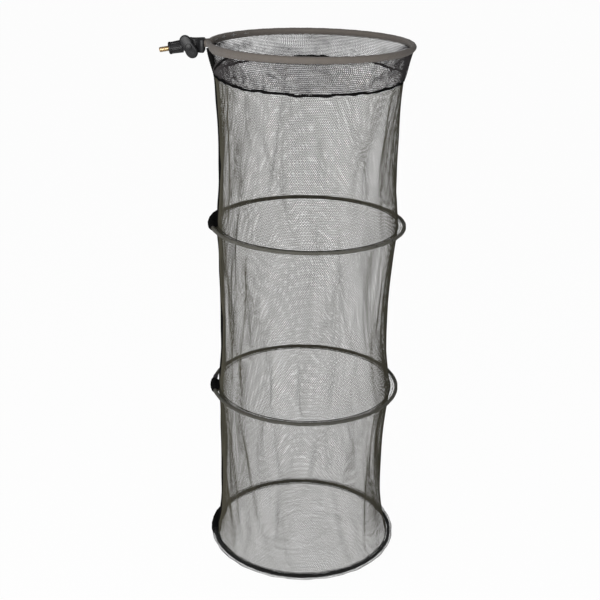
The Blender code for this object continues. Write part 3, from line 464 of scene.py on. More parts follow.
def hem_pucker(share, azimuth, ply):
    """Small gathers of the hem, deepest at its seam and on the side away from the head."""
    gathers = waves(azimuth, (1.0, 31.0, 1.5 * ply), (0.7, 53.0, 2.0 + ply))
    depth = GATHER_DEPTH * (1.0 + GATHER_RISE * np.exp(-((azimuth - TURN) / GATHER_SPREAD) ** 2))
    return depth * gathers * share + waves(azimuth, (0.0005, 17.0, 3.0 * share)) * np.sin(math.pi * share)


def cord_sway(azimuth):
    """How far the hem's seam wanders up and down."""
    return waves(azimuth, (0.0009, 9.0, 0.5), (0.0006, 23.0, 0.0), (0.0004, 41.0, 0.0))


def notch_edge(aside, sizes):
    """Depth of the notch's edge under the hem's top, at a distance from the head's side to the front."""
    away = np.where(aside > 0.0, aside, -aside / BACK_NOTCH_SHARE) / sizes.notch_half_width
    slope = np.exp(-away ** NOTCH_POWER)
    beyond = np.clip(away - 1.0, 0.0, 1.0)
    shelf = 0.5 + 0.5 * np.cos(math.pi * beyond)
    return sizes.notch_depth * (NOTCH_SLOPE_SHARE * slope + (1.0 - NOTCH_SLOPE_SHARE) * shelf)


def net_columns(sizes):
    """Even count of cells round the net, the same in every panel."""
    return 2 * PANELS * round(math.pi * SEAM_RADIUS / sizes.cell / PANELS)


def ring_point(azimuth, radius, height):
    """Points round the rings' axis, as one array of places."""
    return np.stack([RING_X + radius * np.cos(azimuth), radius * np.sin(azimuth),
                     height + 0.0 * azimuth], axis=1)


# Mesh helpers

def read_points(rows, name):
    """One vector of each row as one array."""
    values = np.empty(len(rows) * 3, np.float32)
    rows.foreach_get(name, values)
    return values.reshape(-1, 3).astype(float)


def places_of(mesh):
    """A mesh's points as one array."""
    return read_points(mesh.vertices, "co")


def move_points(mesh, places):
    """Put a mesh's points at new places."""
    mesh.vertices.foreach_set("co", places.astype(np.float32).ravel())
    mesh.update()


def link_piece(mesh, finish, body, node=None, crease=40.0):
    """Make a piece from a mesh: its finish, the body that carries it and the node it replaces."""
    mesh.shade_smooth()
    mesh.set_sharp_from_angle(angle=math.radians(crease))
    piece = bpy.data.objects.new(mesh.name, mesh)
    bpy.context.scene.collection.objects.link(piece)
    mesh.materials.append(finish.material)
    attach(piece, body)
    if node is not None:
        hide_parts(node)
    return piece


def gather(piece):
    """Give a piece its own copy of its mesh."""
    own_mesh(piece)


def mesh_from(bm, name):
    """Turn a bmesh into a mesh."""
    mesh = bpy.data.meshes.new(name)
    bm.to_mesh(mesh)
    bm.free()
    return mesh


def repeat(bm, count, step):
    """Copy all that a bmesh holds until it stands count times, each one step further."""
    unit = bm.verts[:] + bm.edges[:] + bm.faces[:]
    for number in range(1, count):
        made = bmesh.ops.duplicate(bm, geom=unit)["geom"]
        moved = [item for item in made if isinstance(item, bmesh.types.BMVert)]
        bmesh.ops.translate(bm, verts=moved, vec=number * Vector(step))


def net_cell(bm, cell, strand, thickness):
    """One six-sided cell: half of each strand round it, raised to a ridge on the outer side."""
    own = bm.verts.layers.float_vector.new(STRAND_LAYER)
    bmesh.ops.create_circle(bm, cap_ends=True, segments=6, radius=cell / math.sqrt(3.0))
    rim = bm.verts[:]
    hole = bm.faces[:]
    bmesh.ops.inset_individual(bm, faces=hole, thickness=0.5 * strand, use_even_offset=True)
    bmesh.ops.delete(bm, geom=hole, context='FACES_ONLY')
    for vertex in bm.verts:
        if vertex not in rim:
            vertex[own] = vertex.co - vertex.co.normalized() * cell / math.sqrt(3.0)
    bmesh.ops.translate(bm, verts=rim, vec=(0.0, 0.0, -thickness))
    bmesh.ops.recalc_face_normals(bm, faces=bm.faces)
    if bm.faces[:][0].normal.z > 0.0:
        bmesh.ops.reverse_faces(bm, faces=bm.faces)


def netting_patch(name, columns, row_pairs, sizes, keep=None, plies=1, ply_gap=0.0):
    """Flat patch of netting from (0, 0), with its cells in staggered rows, one ply behind another."""
    bm = bmesh.new()
    row = sizes.cell * math.sqrt(0.75)
    net_cell(bm, sizes.cell, sizes.strand, sizes.thickness)
    repeat(bm, 2, (0.5 * sizes.cell, row, 0.0))
    repeat(bm, columns, (sizes.cell, 0.0, 0.0))
    repeat(bm, row_pairs, (0.0, 2.0 * row, 0.0))
    bmesh.ops.remove_doubles(bm, verts=bm.verts, dist=MERGE)
    if keep is not None:
        out = [face for face in bm.faces if not keep(face.calc_center_median())]
        bmesh.ops.delete(bm, geom=out, context='FACES')
    repeat(bm, plies, (0.0, 0.0, ply_gap))
    return mesh_from(bm, name)


def strands_of(mesh):
    """Where each point's knot lies on the flat patch, and how far the strand's edge is from it."""
    own = read_points(mesh.attributes[STRAND_LAYER].data, "vector")
    own[:, 2] = 0.0
    return places_of(mesh) - own, own


def shares_of(values):
    """Values as shares of the way from the lowest to the highest."""
    return (values - values.min()) / (values.max() - values.min())


def add_map(mesh, across, along, name="OFBake"):
    """Map of a piece from each point's two shares of the cloth as it lay when it was flat."""
    layer = mesh.uv_layers.new(name=name)
    corner = np.empty(len(mesh.loops), np.int32)
    mesh.loops.foreach_get("vertex_index", corner)
    layer.uv.foreach_set("vector", np.stack([across, along], axis=1)[corner].astype(np.float32).ravel())


def lattice(name, columns, rows, place, closed=False):
    """Tube of faces placed by a function of two shares: round the section and along the piece."""
    bm = bmesh.new()
    bmesh.ops.create_grid(bm, x_segments=columns, y_segments=rows, size=0.5)
    mesh = mesh_from(bm, name)
    flat = places_of(mesh)
    across, along = flat[:, 0] + 0.5, flat[:, 1] + 0.5
    add_map(mesh, across, along, "Cloth")
    move_points(mesh, place(across, along))
    bm = bmesh.new()
    bm.from_mesh(mesh)
    bmesh.ops.remove_doubles(bm, verts=bm.verts, dist=MERGE)
    if not closed:
        border = [edge for edge in bm.edges if edge.is_boundary]
        bmesh.ops.holes_fill(bm, edges=border, sides=0)
    bmesh.ops.recalc_face_normals(bm, faces=bm.faces)
    bm.to_mesh(mesh)
    bm.free()
    return mesh


def tube_along(path, section, out):
    """Places of a tube: path gives its middle, section how far each place is to the side and out."""
    def place(across, along):
        middle = path(along)
        ahead = path(along + STEP_SHARE) - path(along - STEP_SHARE)
        side = np.cross(ahead, out(along))
        side /= np.linalg.norm(side, axis=1, keepdims=True)
        outward = np.cross(side, ahead)
        outward /= np.linalg.norm(outward, axis=1, keepdims=True)
        wide, high = section(across, along)
        return middle + wide[:, None] * side + high[:, None] * outward
    return place


def outward_at(azimuth):
    """Direction away from the rings' axis."""
    return np.stack([np.cos(azimuth), np.sin(azimuth), 0.0 * azimuth], axis=1)


def fold_line(turn, radius, reach, gap):
    """Middle of a tape folded round a tube: how far each place is towards its tips and to the side."""
    lean = np.clip(np.abs(turn), 0.0, 1.0)
    arc = np.minimum(lean / ARC_SHARE, 1.0) * (math.pi - FOLD_OPENING)
    leg = np.clip((lean - ARC_SHARE) / (1.0 - ARC_SHARE), 0.0, 1.0)
    tip, side = -radius * np.cos(arc), radius * np.sin(arc)
    tip = tip + leg * (radius + reach - tip)
    side = side + leg * (gap - side)
    return tip, np.sign(turn) * side


def folded_tape(across, radius, reach, gap, wall):
    """Outline of a tape folded round a tube: along its outer face, and back along its inner one."""
    outer = across < 0.5
    turn = np.where(outer, 4.0 * across - 1.0, 3.0 - 4.0 * across)
    tip, side = fold_line(turn, radius, reach, gap)
    tip_on, side_on = fold_line(np.minimum(turn + 0.01, 1.0), radius, reach, gap)
    tip_back, side_back = fold_line(np.maximum(turn - 0.01, -1.0), radius, reach, gap)
    run_tip, run_side = tip_on - tip_back, side_on - side_back
    run = np.hypot(run_tip, run_side)
    rim = np.sqrt(np.clip(1.0 - turn ** 24, 0.0, 1.0))
    offset = np.where(outer, 0.5, -0.5) * wall * rim
    return tip - offset * run_side / run, side + offset * run_tip / run


def merged_copy(node, name):
    """A node's shape with its loose triangles joined and its flat faces made whole."""
    bm = bmesh.new()
    bm.from_mesh(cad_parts[node].data)
    bmesh.ops.remove_doubles(bm, verts=bm.verts, dist=MERGE)
    bmesh.ops.dissolve_limit(bm, angle_limit=math.radians(0.5), verts=bm.verts[:], edges=bm.edges[:])
    return mesh_from(bm, name)


def soften_edges(piece, width):
    """Round the edges of a moulded piece."""
    step = piece.modifiers.new("Edges", 'BEVEL')
    step.width = width
    step.segments = 2
    step.limit_method = 'ANGLE'
    step.angle_limit = math.radians(35.0)


# Finishes

def netting_finish(name, colour):
    """Knitted nylon: dark strands, a little paler and shinier where they catch the light."""
    finish = Finish(name, roughness=0.62, specular=0.4)
    patches = finish.noise(0.030, detail=3.0)
    fibres = finish.noise(0.0009, detail=1.0)
    share = patches * 0.5 + fibres * 0.5
    pale = tuple(min(1.0, 1.9 * part) for part in colour)
    dark = tuple(0.6 * part for part in colour)
    finish.set("Base Color", finish.blend(share, dark, pale))
    finish.set("Roughness", 0.5 + fibres * 0.25)
    finish.emboss(fibres, 0.00008)
    return finish


def cloth_finish(name, colour, threads, wear=0.35, sheen=0.15):
    """Plain woven tape or sleeve: threads are how many cross the section and run along the piece."""
    finish = Finish(name, roughness=0.85, sheen=sheen, specular=0.05 + sheen)
    across, along = threads
    weave = finish.map("Cloth", (across, along, 1.0))
    checks = finish.node('ShaderNodeTexChecker', {}, {"Vector": weave, "Scale": 1.0}, output=1)
    worn = finish.noise(0.012, detail=4.0)
    fuzz = finish.noise(0.0006, detail=2.0)
    tone = checks * 0.25 + worn * 0.45 + fuzz * 0.3
    pale = tuple(min(1.0, part * (1.0 + wear)) for part in colour)
    dark = tuple(part * (1.0 - wear) for part in colour)
    finish.set("Base Color", finish.blend(tone, dark, pale))
    finish.set("Roughness", 0.78 + worn * 0.18)
    finish.emboss(checks * 0.5 + fuzz * 0.5, 0.00015)
    return finish


def nylon_finish(name, colour, roughness):
    """Moulded nylon: fine grain, soft bloom and slightly rubbed tone."""
    finish = Finish(name, roughness=roughness, specular=0.25)
    pits = finish.noise(0.0004, detail=3.0)
    bloom = finish.noise(0.006, detail=4.0)
    pale = tuple(min(1.0, 2.0 * part) for part in colour)
    finish.set("Base Color", finish.blend(bloom, colour, pale))
    finish.set("Roughness", roughness - 0.10 + bloom * 0.2)
    finish.emboss(pits, 0.00004)
    return finish


def metal_finish(name, colour, roughness, brushed=(1.0, 1.0, 1.0)):
    """Bare metal with fine tool marks and a little dulling."""
    finish = Finish(name, roughness=roughness, metallic=1.0)
    marks = finish.noise(0.0007, detail=2.0, vector=finish.here(scale=brushed))
    dull = finish.noise(0.004, detail=3.0)
    dark = tuple(0.72 * part for part in colour)
    finish.set("Base Color", finish.blend(dull, dark, colour))
    finish.set("Roughness", roughness - 0.08 + dull * 0.16 + marks * 0.06)
    finish.emboss(marks, 0.00002)
    return finish


def fibre_finish():
    """Pressed fibre washer."""
    finish = Finish("fibre_washer", roughness=0.85, specular=0.3)
    fibres = finish.noise(0.0005, detail=4.0)
    finish.set("Base Color", finish.blend(fibres, (0.07, 0.04, 0.025), (0.20, 0.13, 0.08)))
    finish.emboss(fibres, 0.00006)
    return finish


# Operators

class NetOperator(bpy.types.Operator):
    """Base of the net's operators."""

    bl_options = {'REGISTER', 'UNDO'}


class KEEPNET_OT_bays(NetOperator):
    """Knit the three bays of netting between the rings"""

    bl_idname = "keep_net.bays"
    bl_label = "Netting bays"

    def execute(self, context):
        sizes = context.scene.keep_net_netting
        finish = netting_finish("netting", sizes.colour)
        columns = net_columns(sizes) // PANELS
        row = sizes.cell * math.sqrt(0.75)
        for index in range(len(BAYS)):
            top, foot = BAY_TOPS[index], BAY_FEET[index]
            pairs = round((top - foot) / (2.0 * row))
            for panel in range(PANELS):
                mesh = netting_patch(f"net_bay_{index + 1}_panel_{panel + 1}", columns, pairs, sizes)
                self.hang(mesh, index, panel, columns * sizes.cell, sizes)
                piece = link_piece(mesh, finish, CARRIERS[index], f"net_bay_{index + 1}")
                gather(piece)
                width, length = TURN * SEAM_RADIUS / PANELS, top - foot
                NET_FILL * width * length
        return {'FINISHED'}

    def hang(self, mesh, index, panel, width, sizes):
        """Bend a flat patch round its share of the net."""
        knots, strands = strands_of(mesh)
        share = shares_of(knots[:, 1])
        across = knots[:, 0] / width
        azimuth = gathered(index + 1, share, HEAD_SIDE + TURN * (across + panel) / PANELS)
        top, foot = BAY_TOPS[index], BAY_FEET[index]
        radius = bay_radius(index, share, azimuth)
        radius += sizes.crease * (crease_wave(index, share, azimuth) - CREASE_DRAW * crease_fade(share))
        height = top + (foot - top) * share - strands[:, 1]
        if index == 0:
            height += hem_tilt(azimuth) * (1.0 - share)
        add_map(mesh, shares_of(across), share)
        azimuth += strands[:, 0] / radius
        move_points(mesh, ring_point(azimuth, radius - sizes.thickness - knots[:, 2], height))


class KEEPNET_OT_base_panel(NetOperator):
    """Knit the flat panel that closes the base"""

    bl_idname = "keep_net.base_panel"
    bl_label = "Base panel"

    def execute(self, context):
        sizes = context.scene.keep_net_netting
        finish = netting_finish("base_netting", sizes.colour)
        rim = BASE_SEAM_RADIUS
        columns = round(2.0 * rim / sizes.cell) + 2
        row = sizes.cell * math.sqrt(0.75)
        pairs = round(rim / row) + 1
        middle = Vector((0.5 * columns * sizes.cell, pairs * row, 0.0))
        mesh = netting_patch("base_panel", columns, pairs, sizes,
                             keep=lambda spot: (spot - middle).length < rim - 0.4 * sizes.cell)
        knots, strands = strands_of(mesh)
        flat = knots - np.array(middle)
        distance = np.hypot(flat[:, 0], flat[:, 1])
        azimuth = np.arctan2(flat[:, 1], flat[:, 0])
        share = distance / rim
        wave = share * (1.0 - share) * 4.0
        sag = PANEL_SAG * (1.0 - share ** 2) + waves(azimuth, (0.0012, 5.0, 7.0 * share)) * wave
        turned = azimuth + 9.0 * share
        slip = waves(flat[:, 0], (0.0012, 90.0, 3.0 * np.sin(turned))) + waves(turned, (0.0008, 5.0, 0.0))
        drift = waves(flat[:, 1], (0.0010, 70.0, 3.0 * np.cos(turned))) + waves(turned, (0.0006, 7.0, 0.0))
        add_map(mesh, 0.5 + 0.5 * flat[:, 0] / rim, 0.5 + 0.5 * flat[:, 1] / rim)
        flat[:, 0] += RING_X + slip * wave
        flat[:, 1] += drift * wave
        flat[:, 2] = BASE_NET_Z - sag + 0.5 * flat[:, 2]
        move_points(mesh, flat + strands)
        piece = link_piece(mesh, finish, "base", "base_net")
        return {'FINISHED'}


class KEEPNET_OT_hem(NetOperator):
    """Fold the doubled hem under the top ring, with its notch, its binding and its seam cord"""

    bl_idname = "keep_net.hem"
    bl_label = "Hem"

    def execute(self, context):
        sizes = context.scene.keep_net_hem
        netting = context.scene.keep_net_netting
        thread = cloth_finish("seam_binding", sizes.seam_colour, (24.0, 900.0), sheen=0.0)
        self.knit_hem(sizes, netting)
        self.add_cord(sizes, thread)
        self.add_binding(sizes, thread)
        return {'FINISHED'}

    def knit_hem(self, sizes, netting):
        columns = round(HEM_FULLNESS * net_columns(netting))
        row = netting.cell * math.sqrt(0.75)
        pairs = round((HEM_TOP_Z - HEM_FOOT_Z) / (2.0 * row))
        width, height = columns * netting.cell, 2.0 * pairs * row
        stretch = TURN * RING_RADIUS / width

        def keep(spot):
            aside = (spot.x if spot.x < 0.5 * width else spot.x - width) * stretch
            depth = spot.y / height * (HEM_TOP_Z - HEM_FOOT_Z)
            return depth > notch_edge(aside, sizes) - 0.3 * netting.cell

        mesh = netting_patch("hem_netting", columns, pairs, netting, keep, plies=2, ply_gap=sizes.ply_gap)
        knots, strands = strands_of(mesh)
        ply = np.round(knots[:, 2] / sizes.ply_gap)
        share = shares_of(knots[:, 1])
        azimuth = gathered(0, share, HEAD_SIDE + TURN * (knots[:, 0] + 0.5 * netting.cell * ply) / width)
        bulge = 0.3 + 0.7 * np.sin(math.pi * share)
        inward = ply * sizes.ply_gap * bulge + knots[:, 2] - ply * sizes.ply_gap + netting.thickness
        radius = hem_radius(share, azimuth) + hem_pucker(share, azimuth, ply) - inward
        height = HEM_TOP_Z + (HEM_FOOT_Z - HEM_TOP_Z) * share - strands[:, 1] + hem_tilt(azimuth) * share
        add_map(mesh, shares_of(knots[:, 0]), share)
        move_points(mesh, ring_point(azimuth + strands[:, 0] / radius, radius, height))
        finish = netting_finish("hem_cloth", sizes.colour)
        piece = link_piece(mesh, finish, "ring_head", "hem_band")
        gather(piece)

    def add_cord(self, sizes, thread):
        """Overlocked seam where the hem meets the first bay."""
        def path(along):
            azimuth = HEAD_SIDE + TURN * along
            height = CORD_Z + cord_sway(azimuth) + hem_tilt(azimuth)
            return ring_point(azimuth, hem_radius(1.0, azimuth) - CORD_SET, height)

        def section(across, along):
            angle = TURN * across
            lumps = 1.0 + waves(TURN * along, (0.12, 19.0, 0.0), (0.08, 47.0, 1.0))
            loops = 1.0 + waves(TURN * along, (0.10, 230.0, 2.0 * angle))
            knot = 1.0 + KNOT_SWELL * np.exp(-((along - KNOT_SHARE) / KNOT_WIDTH) ** 2)
            size = sizes.cord_radius * lumps * loops * knot
            return size * np.cos(angle), size * np.sin(angle)

        place = tube_along(path, section, lambda along: outward_at(HEAD_SIDE + TURN * along))
        mesh = lattice("hem_seam", 8, 1400, place, closed=True)
        gather(link_piece(mesh, thread, "ring_head", "seam_cord"))

    def add_binding(self, sizes, thread):
        """Rolled edge down both sides of the notch under the head."""
        span = 2.0 * sizes.notch_half_width

        def path(along):
            aside = span * (2.0 * along - 1.0)
            depth = np.clip(notch_edge(aside, sizes), 0.0, HEM_TOP_Z - HEM_FOOT_Z)
            azimuth = HEAD_SIDE + aside / RING_RADIUS
            share = depth / (HEM_TOP_Z - HEM_FOOT_Z)
            height = HEM_TOP_Z - depth + hem_tilt(azimuth) * share
            return ring_point(azimuth, hem_radius(share, azimuth) - BINDING_SET, height)

        def section(across, along):
            angle = TURN * across
            size = sizes.binding_radius * (1.0 + waves(TURN * along, (0.10, 90.0, 2.0 * angle)))
            size = size * np.sqrt(np.clip(1.0 - (2.0 * along - 1.0) ** BINDING_TAPER, 0.02, 1.0))
            return BINDING_WIDE * size * np.cos(angle), BINDING_HIGH * size * np.sin(angle)

        def out(along):
            return outward_at(HEAD_SIDE + span * (2.0 * along - 1.0) / RING_RADIUS)

        mesh = lattice("notch_edge", 12, 480, tube_along(path, section, out))
        gather(link_piece(mesh, thread, "ring_head", "notch_binding"))


class KEEPNET_OT_side_seams(NetOperator):
    """Sew the side seam down the head's side, one length for each bay"""

    bl_idname = "keep_net.side_seams"
    bl_label = "Side seams"

    def execute(self, context):
        sizes = context.scene.keep_net_hem
        thread = cloth_finish("side_seam_tape", sizes.seam_colour, (30.0, 130.0), sheen=0.0)
        for index in range(len(BAYS)):
            mesh = self.tape(f"seam_tape_{index + 1}", index)
            piece = link_piece(mesh, thread, CARRIERS[index], f"side_seam_{index + 1}")
            gather(piece)
        return {'FINISHED'}

    def tape(self, name, index):
        top = HEM_TOP_Z - 0.004 if index == 0 else RING_HEIGHTS[index]
        foot = BAY_FEET[index]
        start = BAY_TOPS[index]

        def path(along):
            height = top + (foot - top) * along
            share = (start - height) / (start - foot)
            above = np.clip(-share * (start - foot) / (HEM_TOP_Z - start), 0.0, 1.0)
            side = np.full_like(along, HEAD_SIDE)
            wall = bay_radius(index, np.clip(share, 0.0, 1.0), side)
            wall = np.where(share < 0.0, hem_radius(1.0 - above, side), wall)
            sway = waves(along, (0.0012, 9.0, 2.0 * index), (0.0006, 31.0, 0.0))
            depth = SEAM_SET - waves(along, (0.0004, 23.0, 0.0))
            return ring_point(side + sway / SEAM_RADIUS, wall - depth, height)

        def section(across, along):
            angle = TURN * across
            twist = waves(along, (0.15, 7.0, index), (0.09, 17.0, 0.0))
            stitch = 1.0 + waves(TURN * along, (0.06, 80.0, 3.0 * angle))
            lumps = 1.0 + waves(along, (0.10, 41.0, 2.0 * index), (0.07, 88.0, 0.0))
            flare = 1.0
            if index == 0:
                flare += (SEAM_FLARE - 1.0) * np.exp(-along * (top - foot) / SEAM_FLARE_LENGTH)
            wide = SEAM_HALF_WIDTH * flare * lumps * stitch * np.cos(angle)
            high = SEAM_DEPTH * stitch * (1.0 + waves(along, (0.05, 29.0, 0.0))) * np.sin(angle)
            return wide * np.cos(twist) - high * np.sin(twist), wide * np.sin(twist) + high * np.cos(twist)

        place = tube_along(path, section, lambda along: outward_at(np.full_like(along, HEAD_SIDE)))
        return lattice(name, 14, 480, place)


def top_route(distance):
    """Middle of the top ring's tube, at a distance along it from the near socket's mouth."""
    bend = TOP_BEND_RADIUS * (0.5 * math.pi - BEND_LEAVE)
    arc = RING_RADIUS * (TURN - 2.0 * BEND_LEAVE)
    back = distance > bend + 0.5 * arc
    near = np.where(back, 2.0 * bend + arc - distance, distance)
    side = np.where(back, 1.0, -1.0)
    angle = np.minimum(near, bend) / TOP_BEND_RADIUS
    x = BLOCK_FACE + TOP_BEND_RADIUS * np.sin(angle)
    y = BEND_CENTRE_Y - TOP_BEND_RADIUS * np.cos(angle)
    azimuth = HEAD_SIDE + BEND_LEAVE + np.maximum(near - bend, 0.0) / RING_RADIUS
    on_ring = near > bend
    x = np.where(on_ring, RING_X + RING_RADIUS * np.cos(azimuth), x)
    y = np.where(on_ring, -RING_RADIUS * np.sin(azimuth), y)
    return np.stack([x, side * y, RING_HEIGHTS[0] + 0.0 * x], axis=1)


class KEEPNET_OT_top_sleeve(NetOperator):
    """Fold the cloth sleeve round the top ring's tube"""

    bl_idname = "keep_net.top_sleeve"
    bl_label = "Top sleeve"

    def execute(self, context):
        sizes = context.scene.keep_net_rings
        finish = cloth_finish("ring_sleeve_cloth", sizes.top_colour, (90.0, 2200.0), wear=0.3)
        bends = 2.0 * TOP_BEND_RADIUS * (0.5 * math.pi - BEND_LEAVE)
        length = bends + RING_RADIUS * (TURN - 2.0 * BEND_LEAVE)

        def path(along):
            return top_route(length * along)

        def section(across, along):
            near = length * np.minimum(along, 1.0 - along)
            side_share = np.where(along < 0.5, 1.0, BACK_FLARE_SHARE)
            flare = FLARE_DROP * side_share * np.exp(-(near / FLARE_LENGTH) ** 1.6)
            flare = flare * (1.0 - np.exp(-(near / FLARE_START) ** 2))
            reach = sizes.top_fin + flare + 0.0004 * np.sin(383.0 * along) * np.sin(145.0 * along + 1.0)
            pucker = waves(along, (0.00010, 880.0, 0.0), (0.00012, 232.0, 2.0))
            radius = sizes.top_radius - 0.5 * TOP_WALL + pucker
            tip, side = folded_tape(across, radius, reach, TOP_GAP, TOP_WALL)
            return side, -tip

        def out(along):
            return np.stack([0.0 * along, 0.0 * along, 1.0 + 0.0 * along], axis=1)

        mesh = lattice("top_sleeve", 56, 460, tube_along(path, section, out))
        piece = link_piece(mesh, finish, "ring_head", "top_ring_sleeve", FOLD_CREASE)
        return {'FINISHED'}


class KEEPNET_OT_casings(NetOperator):
    """Fold the casings round the three lower hoops, and sew them to the net"""

    bl_idname = "keep_net.casings"
    bl_label = "Ring casings"

    def execute(self, context):
        sizes = context.scene.keep_net_rings
        hem = context.scene.keep_net_hem
        netting = context.scene.keep_net_netting
        thread = cloth_finish("casing_thread", sizes.thread_colour, (12.0, 900.0), sheen=0.0)
        black = cloth_finish("tab_cloth", hem.seam_colour, (30.0, 60.0), sheen=0.0)
        pale = netting_finish("casing_netting", netting.colour)
        dark = netting_finish("base_casing_netting", hem.seam_colour)
        colours = (sizes.lower_colour, sizes.middle_colour, sizes.base_colour)
        for index, (name, height, colour) in enumerate(zip(RING_NAMES, RING_HEIGHTS[1:], colours)):
            cloth = cloth_finish(f"{name}_sleeve_cloth", colour, (60.0, 2200.0), wear=0.3)
            self.add_sleeve(name, height, sizes, cloth)
            self.add_casing(index, name, height, netting, dark if name == "base" else pale)
            self.add_seam(name, height, FOOT_RADII[index], thread)
            self.add_tab(name, height, TABS[index], sizes, black)
        return {'FINISHED'}

    def add_sleeve(self, name, height, sizes, cloth):
        """Cloth sleeve close round the hoop, open where the ferrule is."""
        start = FERRULE_REACH
        span = TURN - 2.0 * start

        def path(along):
            return ring_point(HEAD_SIDE + start + span * along, RING_RADIUS, height)

        def section(across, along):
            near = start + span * along
            pucker = waves(near, (0.00015, 150.0, 0.0), (0.00015, 41.0, 0.0))
            radius = sizes.sleeve_radius - 0.5 * HOOP_WALL + pucker
            tip, side = folded_tape(across, radius, HOOP_FIN, HOOP_GAP, HOOP_WALL)
            return side, -tip

        place = tube_along(path, section, lambda along: outward_at(HEAD_SIDE + start + span * along))
        mesh = lattice(f"{name}_cloth", 36, 320, place)
        piece = link_piece(mesh, cloth, name, f"{name}_sleeve", FOLD_CREASE)

    def add_casing(self, index, name, height, netting, finish):
        """Netting folded round the sleeved hoop, its two legs sewn to the wall of the net."""
        columns = round(CASING_FULLNESS[index] * net_columns(netting))
        span = TURN - 2.0 * FERRULE_REACH
        radius, pairs = CASING_RADII[index], CASING_ROW_PAIRS[index]
        mesh = netting_patch(f"{name}_casing", columns, pairs, netting)
        knots, strands = strands_of(mesh)
        row = netting.cell * math.sqrt(0.75)
        across, share = shares_of(knots[:, 0]), shares_of(knots[:, 1])
        azimuth = HEAD_SIDE + FERRULE_REACH + span * across
        loose = radius * (1.0 + waves(azimuth, (0.06, 19.0, 0.0), (0.05, 33.0, 1.0)))
        reach = RING_RADIUS - FOOT_RADII[index] - radius
        turn = 1.0 - 2.0 * (share + CASING_STRAND_SHARE * strands[:, 1] / (2.0 * pairs * row))
        tip, side = fold_line(turn, loose, reach, CASING_GAP)
        tip_on, side_on = fold_line(turn, loose + CASING_PROBE, reach, CASING_GAP + CASING_PROBE)
        push = -0.5 * knots[:, 2] / np.hypot(tip_on - tip, side_on - side).clip(0.0003)
        tip, side = tip + push * (tip_on - tip), side + push * (side_on - side)
        ripple = waves(azimuth, CASING_RIPPLE) * np.clip(tip / radius, 0.0, 1.0)
        add_map(mesh, across, share)
        azimuth += CASING_STRAND_SHARE * strands[:, 0] / RING_RADIUS
        move_points(mesh, ring_point(azimuth, RING_RADIUS - tip, height + side + ripple))
        piece = link_piece(mesh, finish, name, f"{name}_sleeve")
        cut = (CASING_FULLNESS[index] * span * RING_RADIUS, 2.0 * pairs * row)
        FOLDED_NET_FILL * cut[0] * cut[1]

    def add_seam(self, name, height, radius, thread):
        """Stitched line where the casing meets the net."""
        def path(along):
            azimuth = HEAD_SIDE + TURN * along
            return ring_point(azimuth, radius - THREAD_SET + waves(azimuth, (0.0005, 13.0, 0.0)), height)

        def section(across, along):
            angle = TURN * across
            size = 1.0 + waves(TURN * along, (0.18, 260.0, angle), (0.12, 17.0, 0.0))
            return THREAD_HALF_WIDTH * size * np.cos(angle), THREAD_HALF_HEIGHT * size * np.sin(angle)

        place = tube_along(path, section, lambda along: outward_at(HEAD_SIDE + TURN * along))
        mesh = lattice(f"{name}_seam", 6, 1040, place, closed=True)
        link_piece(mesh, thread, name)

    def add_tab(self, name, height, tab, sizes, cloth):
        """Black tape folded round the hoop's ferrule and sewn down on the side seam."""
        narrow = sizes.sleeve_radius + TAB_PLY

        def azimuth_at(along):
            return HEAD_SIDE + (tab.middle + tab.half_length * (2.0 * along - 1.0)) / RING_RADIUS

        def path(along):
            return ring_point(azimuth_at(along), RING_RADIUS, height)

        def section(across, along):
            swell = np.sqrt(np.clip(1.0 - np.abs(2.0 * along - 1.0) ** tab.squareness, 0.0, 1.0))
            pucker = waves(along, (0.00020, 31.0, 0.0), (0.00015, 57.0, 1.0))
            radius = narrow + (tab.radius - narrow) * swell + pucker
            reach = (RING_RADIUS - TAB_REACH - radius) * (TAB_END_REACH + (1.0 - TAB_END_REACH) * swell)
            tip, side = folded_tape(across, radius, reach, TAB_GAP, TAB_WALL)
            return side, -tip

        place = tube_along(path, section, lambda along: outward_at(azimuth_at(along)))
        mesh = lattice(f"{name}_tab", 48, 72, place)
        piece = link_piece(mesh, cloth, name, crease=FOLD_CREASE)


class KEEPNET_OT_head(NetOperator):
    """Dress the moulded head: its block, its stud holder and its wing knob"""

    bl_idname = "keep_net.head"
    bl_label = "Moulded head"

    def execute(self, context):
        sizes = context.scene.keep_net_head
        nylon = nylon_finish("black_nylon", sizes.colour, 0.42)
        knob = nylon_finish("knob_nylon", sizes.colour, 0.36)
        for name, node, finish, slot, body, edge in (
            ("head_block", "ring_head_block", nylon, "black_nylon", "ring_head", sizes.edge),
            ("holder", "stud_holder", nylon, "black_nylon", "stud", sizes.edge),
            ("clamp_knob", "wing_knob", knob, "knob_nylon", "knob", 2.0 * sizes.edge),
        ):
            soften_edges(link_piece(merged_copy(node, name), finish, body, node), edge)
        return {'FINISHED'}


